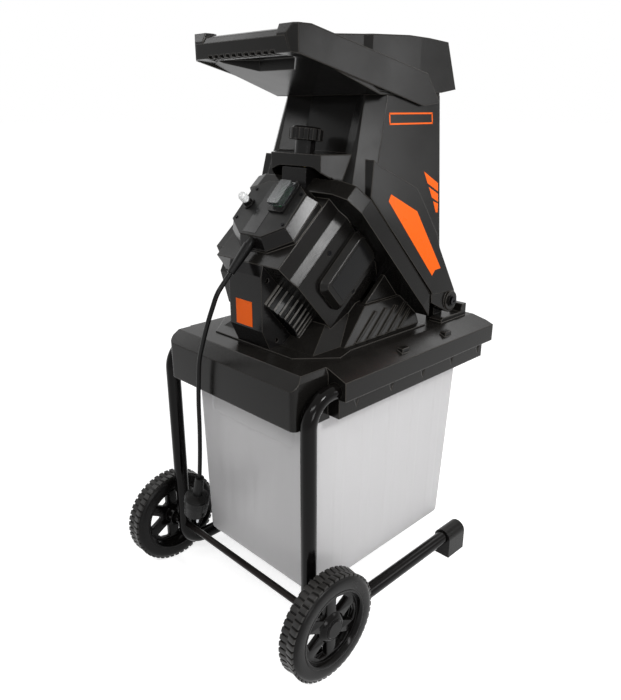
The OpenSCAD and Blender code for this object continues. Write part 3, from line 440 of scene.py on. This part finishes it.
# One ring of blocks about an X axis.
block_ring, given, result = new_group(
    "block_ring",
    "GeometryNodeTree",
    [
        ("Geometry", "Geometry"),
        ("Block", "Object"),
        ("Count", "Int"),
        ("Radius", "Float"),
        ("Turn", "Float"),
        ("Axial", "Float"),
        ("Centre", "Vector"),
        ("Finish", "Material"),
    ],
    [("Geometry", "Geometry")],
)
circle = put(block_ring, "GeometryNodeMeshCircle", {"Vertices": given["Count"], "Radius": given["Radius"]})
index = put(block_ring, "GeometryNodeInputIndex")
whole = put(block_ring, "ShaderNodeMath", {0: index.outputs[0], 1: 2 * math.pi}, operation="MULTIPLY")
share = put(block_ring, "ShaderNodeMath", {0: whole.outputs[0], 1: given["Count"]}, operation="DIVIDE")
about = put(block_ring, "ShaderNodeCombineXYZ", {"Z": share.outputs[0]})
spun = put(block_ring, "FunctionNodeEulerToRotation", {0: about.outputs[0]})
shape = put(block_ring, "GeometryNodeObjectInfo", {"Object": given["Block"]})
ring = put(
    block_ring,
    "GeometryNodeInstanceOnPoints",
    {"Points": circle.outputs[0], "Instance": shape.outputs["Geometry"], "Rotation": spun.outputs[0]},
)
offset = put(block_ring, "ShaderNodeCombineXYZ", {"Z": given["Axial"]})
twist = put(block_ring, "ShaderNodeCombineXYZ", {"Z": given["Turn"]})
twisted = put(block_ring, "FunctionNodeEulerToRotation", {0: twist.outputs[0]})
shifted = put(
    block_ring,
    "GeometryNodeTransform",
    {"Geometry": ring.outputs[0], "Translation": offset.outputs[0], "Rotation": twisted.outputs[0]},
)
stood = put(
    block_ring,
    "GeometryNodeTransform",
    {"Geometry": shifted.outputs[0], "Translation": given["Centre"], "Rotation": (0.0, math.pi / 2, 0.0)},
)
real = put(block_ring, "GeometryNodeRealizeInstances", {0: stood.outputs[0]})
coloured = put(
    block_ring,
    "GeometryNodeSetMaterial",
    {"Geometry": real.outputs[0], "Material": given["Finish"]},
)
block_ring.links.new(coloured.outputs[0], result["Geometry"])


def grown(tree, values):
    """The plain mesh that a geometry tree makes from named input values."""
    holder = bpy.data.objects.new("holder", bpy.data.meshes.new("holder"))
    bpy.context.scene.collection.objects.link(holder)
    modifier = holder.modifiers.new("make", "NODES")
    modifier.node_group = tree
    for item in tree.interface.items_tree:
        if item.in_out == "INPUT" and item.name in values:
            modifier[item.identifier] = values[item.name]
    bpy.context.view_layer.update()
    mesh = bpy.data.meshes.new_from_object(holder.evaluated_get(bpy.context.evaluated_depsgraph_get()))
    holder.modifiers.remove(modifier)
    bpy.data.objects.remove(holder)
    return mesh


rubber = coated(
    "tyre_rubber", "0b0a0a", "403d3a",
    rough=0.3, grain=700, depth=0.00005, edge=0.0006,
    dust=0.015, spread=0.08, wear_and_highlight=0.5, specular_ior_level=0.12,
)
tread_size = (0.0052, 0.0084, 0.0150)
tread_taper, tread_edge, tread_fall, row_axial = 0.93, 0.0006, 0.0022, 0.0070
ground_gap = 0.0001
inner_tread = block("inner_tread", tread_size, tread_taper, tread_edge, -tread_fall)
outer_tread = block("outer_tread", tread_size, tread_taper, tread_edge, tread_fall)
tread_foot = wheel_centre.z - tread_size[0] - ground_gap
carcass_steps = 144
carcass = [(-0.0181, seat_r + 0.0003), (-0.0185, 0.0675), (-0.0185, 0.0772), (-0.0182, 0.0802)]
carcass += [(-0.0174, 0.0830), (-0.0160, 0.0850), (-0.0140, 0.0864), (-0.011, 0.0870), (-0.005, 0.0873)]
carcass += [(-a, r) for a, r in reversed(carcass)]
# The blocks take a lighter, glossier copy of the wall's rubber: a painted highlight for their lit tops.
tread_rubber_painted_light = coated(
    "tread_rubber_painted_light", "1a1918", "5c5852",
    rough=0.4, grain=700, depth=0.00005, edge=0.0008,
    dust=0.02, spread=0.08, wear_and_highlight=0.5, specular_ior_level=0.3,
)
lugs = 48
for side, sign in (("left", -1.0), ("right", 1.0)):
    centre = Vector((sign * wheel_centre.x, wheel_centre.y, wheel_centre.z))
    bm = bmesh.new()
    lathe(bm, carcass, carcass_steps, centre)
    finished("tyre_wall_" + side, bm, rubber, side + "_wheel", "tyre", "tyre_" + side)
    bm = bmesh.new()
    for shape, turned, axial in ((outer_tread, 0.0, -row_axial), (inner_tread, math.pi / lugs, row_axial)):
        mesh = grown(
            block_ring,
            {
                "Block": shape,
                "Count": lugs,
                "Radius": tread_foot,
                "Turn": turned,
                "Axial": axial,
                "Centre": centre,
                "Finish": tread_rubber_painted_light,
            },
        )
        bm.from_mesh(mesh)
        bpy.data.meshes.remove(mesh)
    finished("tread_" + side, bm, tread_rubber_painted_light, side + "_wheel", "tyre")
bpy.data.objects.remove(inner_tread)
bpy.data.objects.remove(outer_tread)


# Deck. One large structural moulding in charcoal plastic with a fine grain. It carries the motor unit, sits
# on the tubes and has the box rails fixed under it.
charcoal = coated(
    "charcoal_moulding", "131211", "857f77",
    rough=0.22, grain=1500, depth=0.00003, edge=0.0028,
    dust=0.02, spread=0.05, wear_and_highlight=0.16, specular_ior_level=0.14,
)
dress(charcoal, "deck")
dress(trim, "box_rails")


# Collecting box. Milky translucent plastic, blow-moulded thin, with soft upright flutes, a ring pressed into
# the front for the grip, and a rim on each side that hangs in the rails.
milky = coated(
    "milky_box_plastic", "bfbebf", "c9c9ca",
    rough=0.36, grain=380, depth=0.00003, edge=0.003,
    dust=0.0, spread=0.04, wear_and_highlight=0.15, mottle=0.97, subsurface_weight=0.35,
    subsurface_radius=(0.02, 0.02, 0.02), subsurface_scale=0.4, specular_ior_level=0.35,
)
box_low, box_high = (Vector(corner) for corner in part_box("box"))
box_wall, box_half, fillet = 0.0025, 0.150, 0.010
side_taper, front_taper, rear_taper = 0.009, 0.004, 0.017
corner_r, corner_grows, least_r = 0.014, 0.002, 0.003
flutes = [-0.0875 + 0.066 * i for i in range(5)]
flute_rise, flute_half, flute_slope = 0.0006, 0.0085, 0.0045
flute_start, flute_fade = 0.012, 0.03
wave_rise, wave_pitch, wave_half = 0.00025, 0.033, 0.012
grip_half, grip_drop, grip_tall = 0.0925, 0.058, 0.0175
grip_press, grip_reach, grip_slope = 0.0009, 0.0105, 0.0032
front_cuts, side_cuts, rear_cuts = 150, 200, 40


def swell(t):
    """A smooth bump, 1 in the middle and 0 from one unit away."""
    return 0.5 + 0.5 * math.cos(math.pi * min(1.0, abs(t)))


def box_ring(bm, z, inset):
    """One level of the box: a rounded outline, wider upwards, with flutes and grip ring outside."""
    t = (z - box_low.z) / (box_high.z - box_low.z)
    half_x = box_half - side_taper * (1 - t) - inset
    front = box_low.y + front_taper * (1 - t) + inset
    rear = box_high.y - rear_taper * (1 - t) - inset
    r = max(least_r, corner_r + corner_grows * t - inset)
    fade = 1.0
    if z < box_low.z + flute_start + flute_fade:
        fade = swell(1 - (z - box_low.z - flute_start) / flute_fade)
    ring = []
    for k in range(front_cuts + 1):
        x = (half_x - r) * (2 * k / front_cuts - 1)
        aside = max(abs(x) - grip_half, 0.0)
        above = max(abs(z - box_high.z + grip_drop) - grip_tall, 0.0)
        press = 0.0
        if max(aside, above) > 0:
            press = grip_press * swell((math.hypot(aside, above) - grip_reach) / grip_slope)
        from_wave = (x + wave_pitch / 2) % wave_pitch - wave_pitch / 2
        ring.append((x, front + press + wave_rise * fade * swell(from_wave / wave_half)))
    arc = [math.radians(11.25 * k) for k in range(1, 8)]
    ring += [(half_x - r + r * math.sin(a), front + r - r * math.cos(a)) for a in arc]
    side = []
    for k in range(side_cuts + 1):
        y = front + r + (rear - front - 2 * r) * k / side_cuts
        rise = max(swell((max(abs(y - c), flute_half) - flute_half) / flute_slope) for c in flutes)
        side.append((half_x + flute_rise * fade * rise, y))
    ring += side
    ring += [(half_x - r + r * math.cos(a), rear - r + r * math.sin(a)) for a in arc]
    ring += [((half_x - r) * (1 - 2 * k / rear_cuts), rear) for k in range(rear_cuts + 1)]
    ring += [(-(half_x - r + r * math.sin(a)), rear - r + r * math.cos(a)) for a in arc]
    ring += [(-x, y) for x, y in reversed(side)]
    ring += [(-(half_x - r + r * math.cos(a)), front + r - r * math.sin(a)) for a in arc]
    return [bm.verts.new((x, y, z)) for x, y in ring]


bm = bmesh.new()
bend = [math.radians(15 * k) for k in range(7)]
levels = [(box_low.z + fillet * (1 - math.cos(a)), fillet * (1 - math.sin(a))) for a in bend]
wall_start, wall_step, wall_rows = 0.016, 0.0102, 24
grip_start, grip_step, grip_rows = 0.256, 0.0016, 46
lip, inside_level = 0.012, 0.2
levels += [(box_low.z + wall_start + wall_step * k, 0.0) for k in range(wall_rows)]
levels += [(box_low.z + grip_start + grip_step * k, 0.0) for k in range(grip_rows)]
levels += [(box_high.z - lip, 0.0), (box_high.z, 0.0)]
levels += [(box_high.z, box_wall), (box_low.z + inside_level, box_wall)]
inner = fillet - box_wall
levels += [
    (box_low.z + fillet - inner * math.cos(a), fillet - inner * math.sin(a)) for a in reversed(bend)
]
rings = [box_ring(bm, z, inset) for z, inset in levels]
for here, there in zip(rings, rings[1:]):
    for k in range(len(here)):
        n = (k + 1) % len(here)
        bm.faces.new((here[k], here[n], there[n], there[k]))
bm.faces.new(rings[0])
bm.faces.new(rings[-1])
bar_wide, bar_long, bar_thick = 0.0097, 0.3285, 0.004
bar_x, bar_y = 0.15285, 0.04875
for sign in (-1.0, 1.0):
    bar_centre = Vector((sign * bar_x, bar_y, box_high.z - bar_thick / 2))
    for v in bmesh.ops.create_cube(bm, size=1.0)["verts"]:
        v.co = bar_centre + Vector((v.co.x * bar_wide, v.co.y * bar_long, v.co.z * bar_thick))
finished("collecting_box", bm, milky, "collecting_box", "box_plastic", "box", smooth=50)


# Motor housing and its covers. The faceted shell and the raised side covers are moulded in the deck's
# plastic, the nose cap is a little glossier, and the vent is a row of hard black fins. Dark screws hold
# the nose and the covers.
gloss_black = coated(
    "gloss_black_moulding", "0f0e0e", "857f77",
    rough=0.15, grain=1500, depth=0.00002, edge=0.002,
    dust=0.01, spread=0.05, wear_and_highlight=0.14, specular_ior_level=0.16,
)
dress(charcoal, "motor_housing", "side_cover", "capacitor_cover")
dress(gloss_black, "nose_cover")
# The fins' grey, lighter than the black moulding, is a painted highlight of their lit crests.
fins = coated(
    "vent_fins", "4a4845", "8d8b87",
    rough=0.24, grain=1400, depth=0.00003, edge=0.0011,
    dust=0.0, wear_and_highlight=0.5, specular_ior_level=0.2,
)
# Painted shade on the vent: the colour fades to black towards the axis of the motor, a painted shade in the
# slots between the fins.
motor_tilt = math.radians(41)
motor_spot = Vector((0.0, 0.045, 0.662))
motor_line = Vector((0.0, math.cos(motor_tilt), math.sin(motor_tilt)))
slot_r, crest_r = 0.0622, 0.0656
tree = fins.node_tree
spot = put(tree, "ShaderNodeTexCoord").outputs["Object"]
reach = put(tree, "ShaderNodeVectorMath", {0: spot, 1: motor_spot}, operation="SUBTRACT")
arm = put(tree, "ShaderNodeVectorMath", {0: reach.outputs[0], 1: motor_line}, operation="CROSS_PRODUCT")
radius = put(tree, "ShaderNodeVectorMath", {0: arm.outputs[0]}, operation="LENGTH")
painted_slot_shade_mask = put(
    tree,
    "ShaderNodeMapRange",
    {
        "Value": radius.outputs["Value"],
        "From Min": slot_r,
        "From Max": crest_r,
        "To Min": 0.0,
        "To Max": 1.0,
    },
)
shell = tree.nodes["Principled BSDF"]
tone = shell.inputs["Base Color"].links[0].from_socket
# Painted shade: black at the slot floors, the fin colour at the crests.
depth = put(tree, "ShaderNodeMix", {0: painted_slot_shade_mask.outputs[0], 6: linear("020202"), 7: tone}, data_type="RGBA")
tree.links.new(depth.outputs[2], shell.inputs["Base Color"])
dress(fins, "vent_grille")
# The screws are darkened to near black: a painted shade of the deep holes the housing screws sit in.
dark_screw = metal("dark_screw_steel", "1e1e20", 0.36)
dress(dark_screw, "housing_screws", "lid_screws", "hinge_screws", "blade_screws")


# Motor. A pressed steel can with lacquered copper windings on the stator, a turned rotor in two bearings and
# a moulded fan. A steel plate closes it against the cutting chamber.
turned_steel = metal("turned_steel", "9b9ea2", 0.28, (30.0, 1.0, 1.0))
dress(turned_steel, "motor_can", "rotor", "bearings", "motor_plate", "wear_plate")
winding = coated(
    "lacquered_winding", "7a4322", "a8683a",
    rough=0.35, grain=500, depth=0.0002, edge=0.0006,
    metallic=0.4,
)
dress(winding, "stator")
dress(trim, "fan")


# Cutter. A machined steel disc on the motor's shaft carries two ground blades, each screwed down flat
# with two screws.
dress(metal("machined_disc", "8d9094", 0.34, (1.0, 12.0, 1.0)), "cutter_disc")
dress(metal("ground_blade", "c4c7cb", 0.18, (40.0, 1.0, 1.0)), "blades")


# Control box. The faceted gloss black box and its flat screwed lid carry the switch under a clear flip
# cover and the reset button under a clear cap.
panel_face = coated(
    "panel_face", "171717", "6a655d",
    rough=0.4, grain=2200, depth=0.00004, edge=0.0012,
    dust=0.02, specular_ior_level=0.15,
)
dress(gloss_black, "control_box")
dress(panel_face, "control_lid")
dress(trim, "switch_body", "reset_base")
green_rocker = coated(
    "green_rocker", "1d6b3c", "2f8a52",
    rough=0.3, grain=1500, depth=0.00004, edge=0.0006,
)
dress(green_rocker, "rocker")


def clear(name, colour, rough, through, shine=0.5):
    """Clear moulded plastic, faintly clouded."""
    material, tree = blank(name)
    spot = put(tree, "ShaderNodeTexCoord").outputs["Object"]
    haze = put(tree, "ShaderNodeTexNoise", {"Vector": spot, "Scale": 60.0, "Detail": 3.0})
    gloss = put(
        tree,
        "ShaderNodeMapRange",
        {
            "Value": haze.outputs[0],
            "From Min": 0.3,
            "From Max": 0.7,
            "To Min": rough * 0.5,
            "To Max": rough * 1.5,
        },
    )
    bump = put(tree, "ShaderNodeBump", {"Height": haze.outputs[0], "Strength": 0.04, "Distance": 0.0001})
    body = put(
        tree,
        "ShaderNodeBsdfPrincipled",
        {
            "Base Color": linear(colour),
            "Roughness": gloss.outputs[0],
            "Transmission Weight": through,
            "IOR": 1.45,
            "Specular IOR Level": shine,
            "Normal": bump.outputs[0],
        },
    )
    put(tree, "ShaderNodeOutputMaterial", {"Surface": body.outputs[0]})
    return material


dress(clear("smoked_cover", "8b8f90", 0.16, 0.95, 0.15), "switch_flap")
dress(clear("clear_cap", "eceded", 0.25, 0.35), "reset_button")


# Supply cord. Black rubber cord from the tapered strain relief down to a round moulded plug with two pins.
# The route is given point by point and repeats the CAD route.
soft_rubber = coated(
    "cord_rubber", "0c0c0c", "262626",
    rough=0.3, grain=1600, depth=0.00005, edge=0.0006,
    dust=0.01, specular_ior_level=0.12,
)
dress(soft_rubber, "strain_relief", "plug")
dress(metal("nickel_pin", "b9bbbe", 0.2), "plug_pins")
cord_d = 0.0075
half = math.sqrt(0.5)
panel_y, panel_z = -0.0975, 0.71
gland_down, gland_deep = -0.122, 0.010
cord_start = Vector(
    (0.0, panel_y + (gland_down + gland_deep) * half, panel_z + (gland_down - gland_deep) * half)
)
route = [cord_start, cord_start + Vector((0.0, -0.012, -0.012))] + [
    Vector(p)
    for p in [
        (-0.002, -0.204, 0.586),
        (-0.008, -0.211, 0.562),
        (-0.018, -0.214, 0.536),
        (-0.034, -0.214, 0.500),
        (-0.047, -0.213, 0.468),
        (-0.054, -0.212, 0.432),
        (-0.058, -0.212, 0.390),
        (-0.060, -0.212, 0.340),
        (-0.064, -0.212, 0.290),
        (-0.070, -0.212, 0.240),
    ]
]


def smooth_route(points, steps):
    """Points along a curve that passes through every route point."""
    ends = [points[0]] + points + [points[-1]]
    line = []
    for a, b, c, d in zip(ends, ends[1:], ends[2:], ends[3:]):
        for k in range(steps):
            u = k / steps
            square = 2 * a - 5 * b + 4 * c - d
            cube = 3 * b - a - 3 * c + d
            line.append(0.5 * (2 * b + (c - a) * u + square * u * u + cube * u**3))
    return line + [points[-1]]


route_steps = 10
line = smooth_route(route, route_steps)
flex = bpy.data.curves.new("supply_cord", "CURVE")
flex.dimensions = "3D"
flex.bevel_depth = cord_d / 2
flex.bevel_resolution = 5
flex.use_fill_caps = True
spline = flex.splines.new("POLY")
spline.points.add(len(line) - 1)
for point, place in zip(spline.points, line):
    point.co = (*place, 1.0)
spline.use_smooth = True
flex.materials.append(soft_rubber)
cord = bpy.data.objects.new("supply_cord", flex)
bpy.context.scene.collection.objects.link(cord)
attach(cord, "chassis")
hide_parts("cord")


# Clamp post. A moulded black post let into the roof of the housing. A brass insert in it takes the
# clamp bolt.
dress(trim, "clamp_post")
dress(metal("brass_insert", "a5884a", 0.3), "post_insert")


# Hopper, hood and guard. Three large mouldings in the deck's charcoal plastic, joined into one unit that
# tilts back on the hinge.
dress(charcoal, "hopper", "hood", "guard")


# Clamp screw. A fluted gloss black knob moulded on a plain steel bolt, captive in a collar on the hopper
# bracket.
dress(gloss_black, "clamp_knob", "clamp_collar")
dress(metal("bolt_steel", "8f9296", 0.24), "clamp_bolt")


# Hinge. Moulded black bushes in the hopper arms turn on the plain shanks of two headed screws, which
# sit in the ears of the deck.
dress(trim, "hinge_bushes")


# Films and plates. Orange vinyl on the hopper's right flank and on the nose, a dark gloss plate on the side
# cover and a dark strip on the control lid, each pressed onto its face. Outlines are in millimetres.
film_sunk = 0.00005
mm = 0.001


def film(name, outlines, spot, out, material, body, slot, thick=0.0004):
    """Thin film: outlines of two coordinates, placed by spot and raised along out."""
    bm = bmesh.new()
    for outline in outlines:
        low = [bm.verts.new(spot(u, v) - out * film_sunk) for u, v in outline]
        high = [bm.verts.new(spot(u, v) + out * thick) for u, v in outline]
        bm.faces.new(low)
        bm.faces.new(high)
        for i in range(len(outline)):
            n = (i + 1) % len(outline)
            bm.faces.new((low[i], low[n], high[n], high[i]))
    return finished(name, bm, material, body, slot, smooth=30)


neck_x, neck_lean = 196, 0.098


def neck_side(proud):
    """Places a point of the hopper's right side, given in millimetres as depth and height."""
    return lambda y, z: Vector((neck_x + proud - neck_lean * z, y, z)) * mm


def rectangle(x0, y0, x1, y1):
    """The outline of a rectangle between two corners."""
    return [(x0, y0), (x1, y0), (x1, y1), (x0, y1)]


side_out = Vector((1.0, 0.0, neck_lean)).normalized()
panel_proud = 2.5
orange = coated(
    "orange_vinyl", "e45c06", "f08038",
    rough=0.3, grain=900, depth=0.00002, edge=0.0002,
    dust=0.0, mottle=0.93, specular_ior_level=0.1,
)
film(
    "flank_panel",
    [[(40.8, 723.3), (34.2, 713.5), (143.1, 579.6), (152.4, 587.8), (168.9, 588.4), (105.8, 691.2)]],
    neck_side(panel_proud),
    side_out,
    orange,
    "hopper_unit",
    "black_plastic",
)
film(
    "neck_slashes",
    [
        [(130.5, 752.0), (168.4, 730.9), (168.0, 717.3), (139.1, 733.0)],
        [(142.3, 726.7), (167.9, 713.5), (167.5, 700.2), (150.7, 708.9)],
        [(153.9, 702.5), (167.5, 697.6), (165.9, 682.9), (160.4, 683.8)],
    ],
    neck_side(0),
    side_out,
    orange,
    "hopper_unit",
    "black_plastic",
)
frame_line = 2.4
front_y, low_z, rear_y, high_z = 45.5, 825.0, 156.5, 842.4
film(
    "side_outline",
    [
        rectangle(front_y, low_z, rear_y, low_z + frame_line),
        rectangle(front_y, high_z - frame_line, rear_y, high_z),
        rectangle(front_y, low_z, front_y + frame_line, high_z),
        rectangle(rear_y - frame_line, low_z, rear_y, high_z),
    ],
    neck_side(0),
    side_out,
    orange,
    "hopper_unit",
    "black_plastic",
)
nose_face = -152.5
film(
    "nose_patch",
    [rectangle(-23.0, 525.0, 16.0, 566.0)],
    lambda x, z: Vector((x, nose_face, z)) * mm,
    Vector((0.0, -1.0, 0.0)),
    orange,
    "chassis",
    "black_plastic",
)
plate_gloss = coated(
    "bare_plate_film", "0d0d0e", "303032",
    rough=0.2, grain=1200, depth=0.00002, edge=0.0002,
    dust=0.01, specular_ior_level=0.16,
)
cover_face = 103.0
cover_down = Vector((0.0, math.sin(motor_tilt), -math.cos(motor_tilt)))
film(
    "cover_plate",
    [rectangle(-20.0, -128.0, 20.0, -40.0)],
    lambda v, z: motor_spot + (Vector((cover_face, 0.0, 0.0)) + cover_down * v + motor_line * z) * mm,
    Vector((1.0, 0.0, 0.0)),
    plate_gloss,
    "chassis",
    "black_plastic",
)
film(
    "panel_strip",
    [rectangle(-20.0, -56.0, 10.0, 39.0)],
    lambda x, v: Vector((x * mm, panel_y + v * half * mm, panel_z + v * half * mm)),
    Vector((0.0, -half, half)),
    plate_gloss,
    "chassis",
    "trim_plastic",
)


# Studio. A white floor that keeps the shadow, a white surround, and six soft lamps at a plain level.
# The surround gives less light than the camera and reflections see.
floor_mesh = bpy.data.meshes.new("floor")
floor_half = 40
floor_corners = [(x, y, 0) for x, y in rectangle(-floor_half, -floor_half, floor_half, floor_half)]
floor_mesh.from_pydata(floor_corners, [], [(0, 1, 2, 3)])
floor = bpy.data.objects.new("floor", floor_mesh)
bpy.context.scene.collection.objects.link(floor)
floor_white, tree = blank("floor_white")
ray = put(tree, "ShaderNodeLightPath")
seen = put(
    tree,
    "ShaderNodeMath",
    {0: ray.outputs["Is Camera Ray"], 1: ray.outputs["Is Glossy Ray"]},
    operation="MAXIMUM",
)
floor_grey, floor_lift = 0.7, 0.7
lift = put(tree, "ShaderNodeMath", {0: seen.outputs[0], 1: floor_lift}, operation="MULTIPLY")
matt = put(tree, "ShaderNodeBsdfDiffuse", {"Color": (floor_grey, floor_grey, floor_grey, 1.0)})
glow = put(tree, "ShaderNodeEmission", {"Strength": lift.outputs[0]})
both = put(tree, "ShaderNodeAddShader", {0: matt.outputs[0], 1: glow.outputs[0]})
put(tree, "ShaderNodeOutputMaterial", {"Surface": both.outputs[0]})
floor_mesh.materials.append(floor_white)

surround = 0.45
world = bpy.data.worlds.new("studio")
bpy.context.scene.world = world
world.use_nodes = True
tree = world.node_tree
tree.nodes.clear()
ray = put(tree, "ShaderNodeLightPath")
seen = put(
    tree,
    "ShaderNodeMath",
    {0: ray.outputs["Is Camera Ray"], 1: ray.outputs["Is Glossy Ray"]},
    operation="MAXIMUM",
)
seen = put(
    tree,
    "ShaderNodeMath",
    {0: seen.outputs[0], 1: ray.outputs["Is Transmission Ray"]},
    operation="MAXIMUM",
)
level = put(
    tree,
    "ShaderNodeMapRange",
    {"Value": seen.outputs[0], "From Min": 0.0, "From Max": 1.0, "To Min": surround, "To Max": 1.0},
)
sky = put(tree, "ShaderNodeBackground", {"Color": (1.0, 1.0, 1.0, 1.0), "Strength": level.outputs[0]})
put(tree, "ShaderNodeOutputWorld", {"Surface": sky.outputs[0]})

for name, place, aim, wide, tall, power in [
    ("key_window", (1.5, 0.0, 1.6), (0.08, -0.08, 0.66), 0.35, 0.35, 17.0),
    ("front_strip", (0.8, -1.3, 1.62), (0.02, 0.0, 0.8), 1.0, 0.3, 12.0),
    ("low_panel", (1.65, -0.7, 0.64), (0.06, -0.03, 0.76), 0.45, 0.45, 6.0),
    ("side_softbox", (1.3, 1.15, 0.92), (0.11, 0.0, 0.85), 0.5, 0.5, 3.0),
    ("left_strip", (-1.5, -0.6, 1.7), (0.0, 0.0, 0.7), 0.4, 1.0, 4.0),
    ("rear_strip", (-0.1, 1.45, 1.5), (0.1, 0.1, 0.5), 0.8, 0.3, 1.8),
]:
    lamp = bpy.data.lights.new(name, "AREA")
    lamp.shape = "RECTANGLE"
    lamp.size = wide
    lamp.size_y = tall
    lamp.energy = power
    holder = bpy.data.objects.new(name, lamp)
    holder.location = place
    holder.rotation_euler = (Vector(aim) - Vector(place)).to_track_quat("-Z", "Y").to_euler()
    bpy.context.scene.collection.objects.link(holder)

bpy.context.scene.view_settings.view_transform = "Standard"


# Camera. It stands before the machine's right front corner, a little below the hood, and looks down at
# the wheels.
lens = bpy.data.cameras.new("camera")
lens.lens = 34.19
lens.sensor_width = 36.0
lens.clip_end = 200.0
camera = bpy.data.objects.new("camera", lens)
camera.location = (0.7875, -0.7867, 0.8490)
look_down, look_round = 19.9915, 45.3494
camera.rotation_euler = (math.radians(90 - look_down), 0.0, math.radians(look_round))
bpy.context.scene.collection.objects.link(camera)
bpy.context.scene.camera = camera
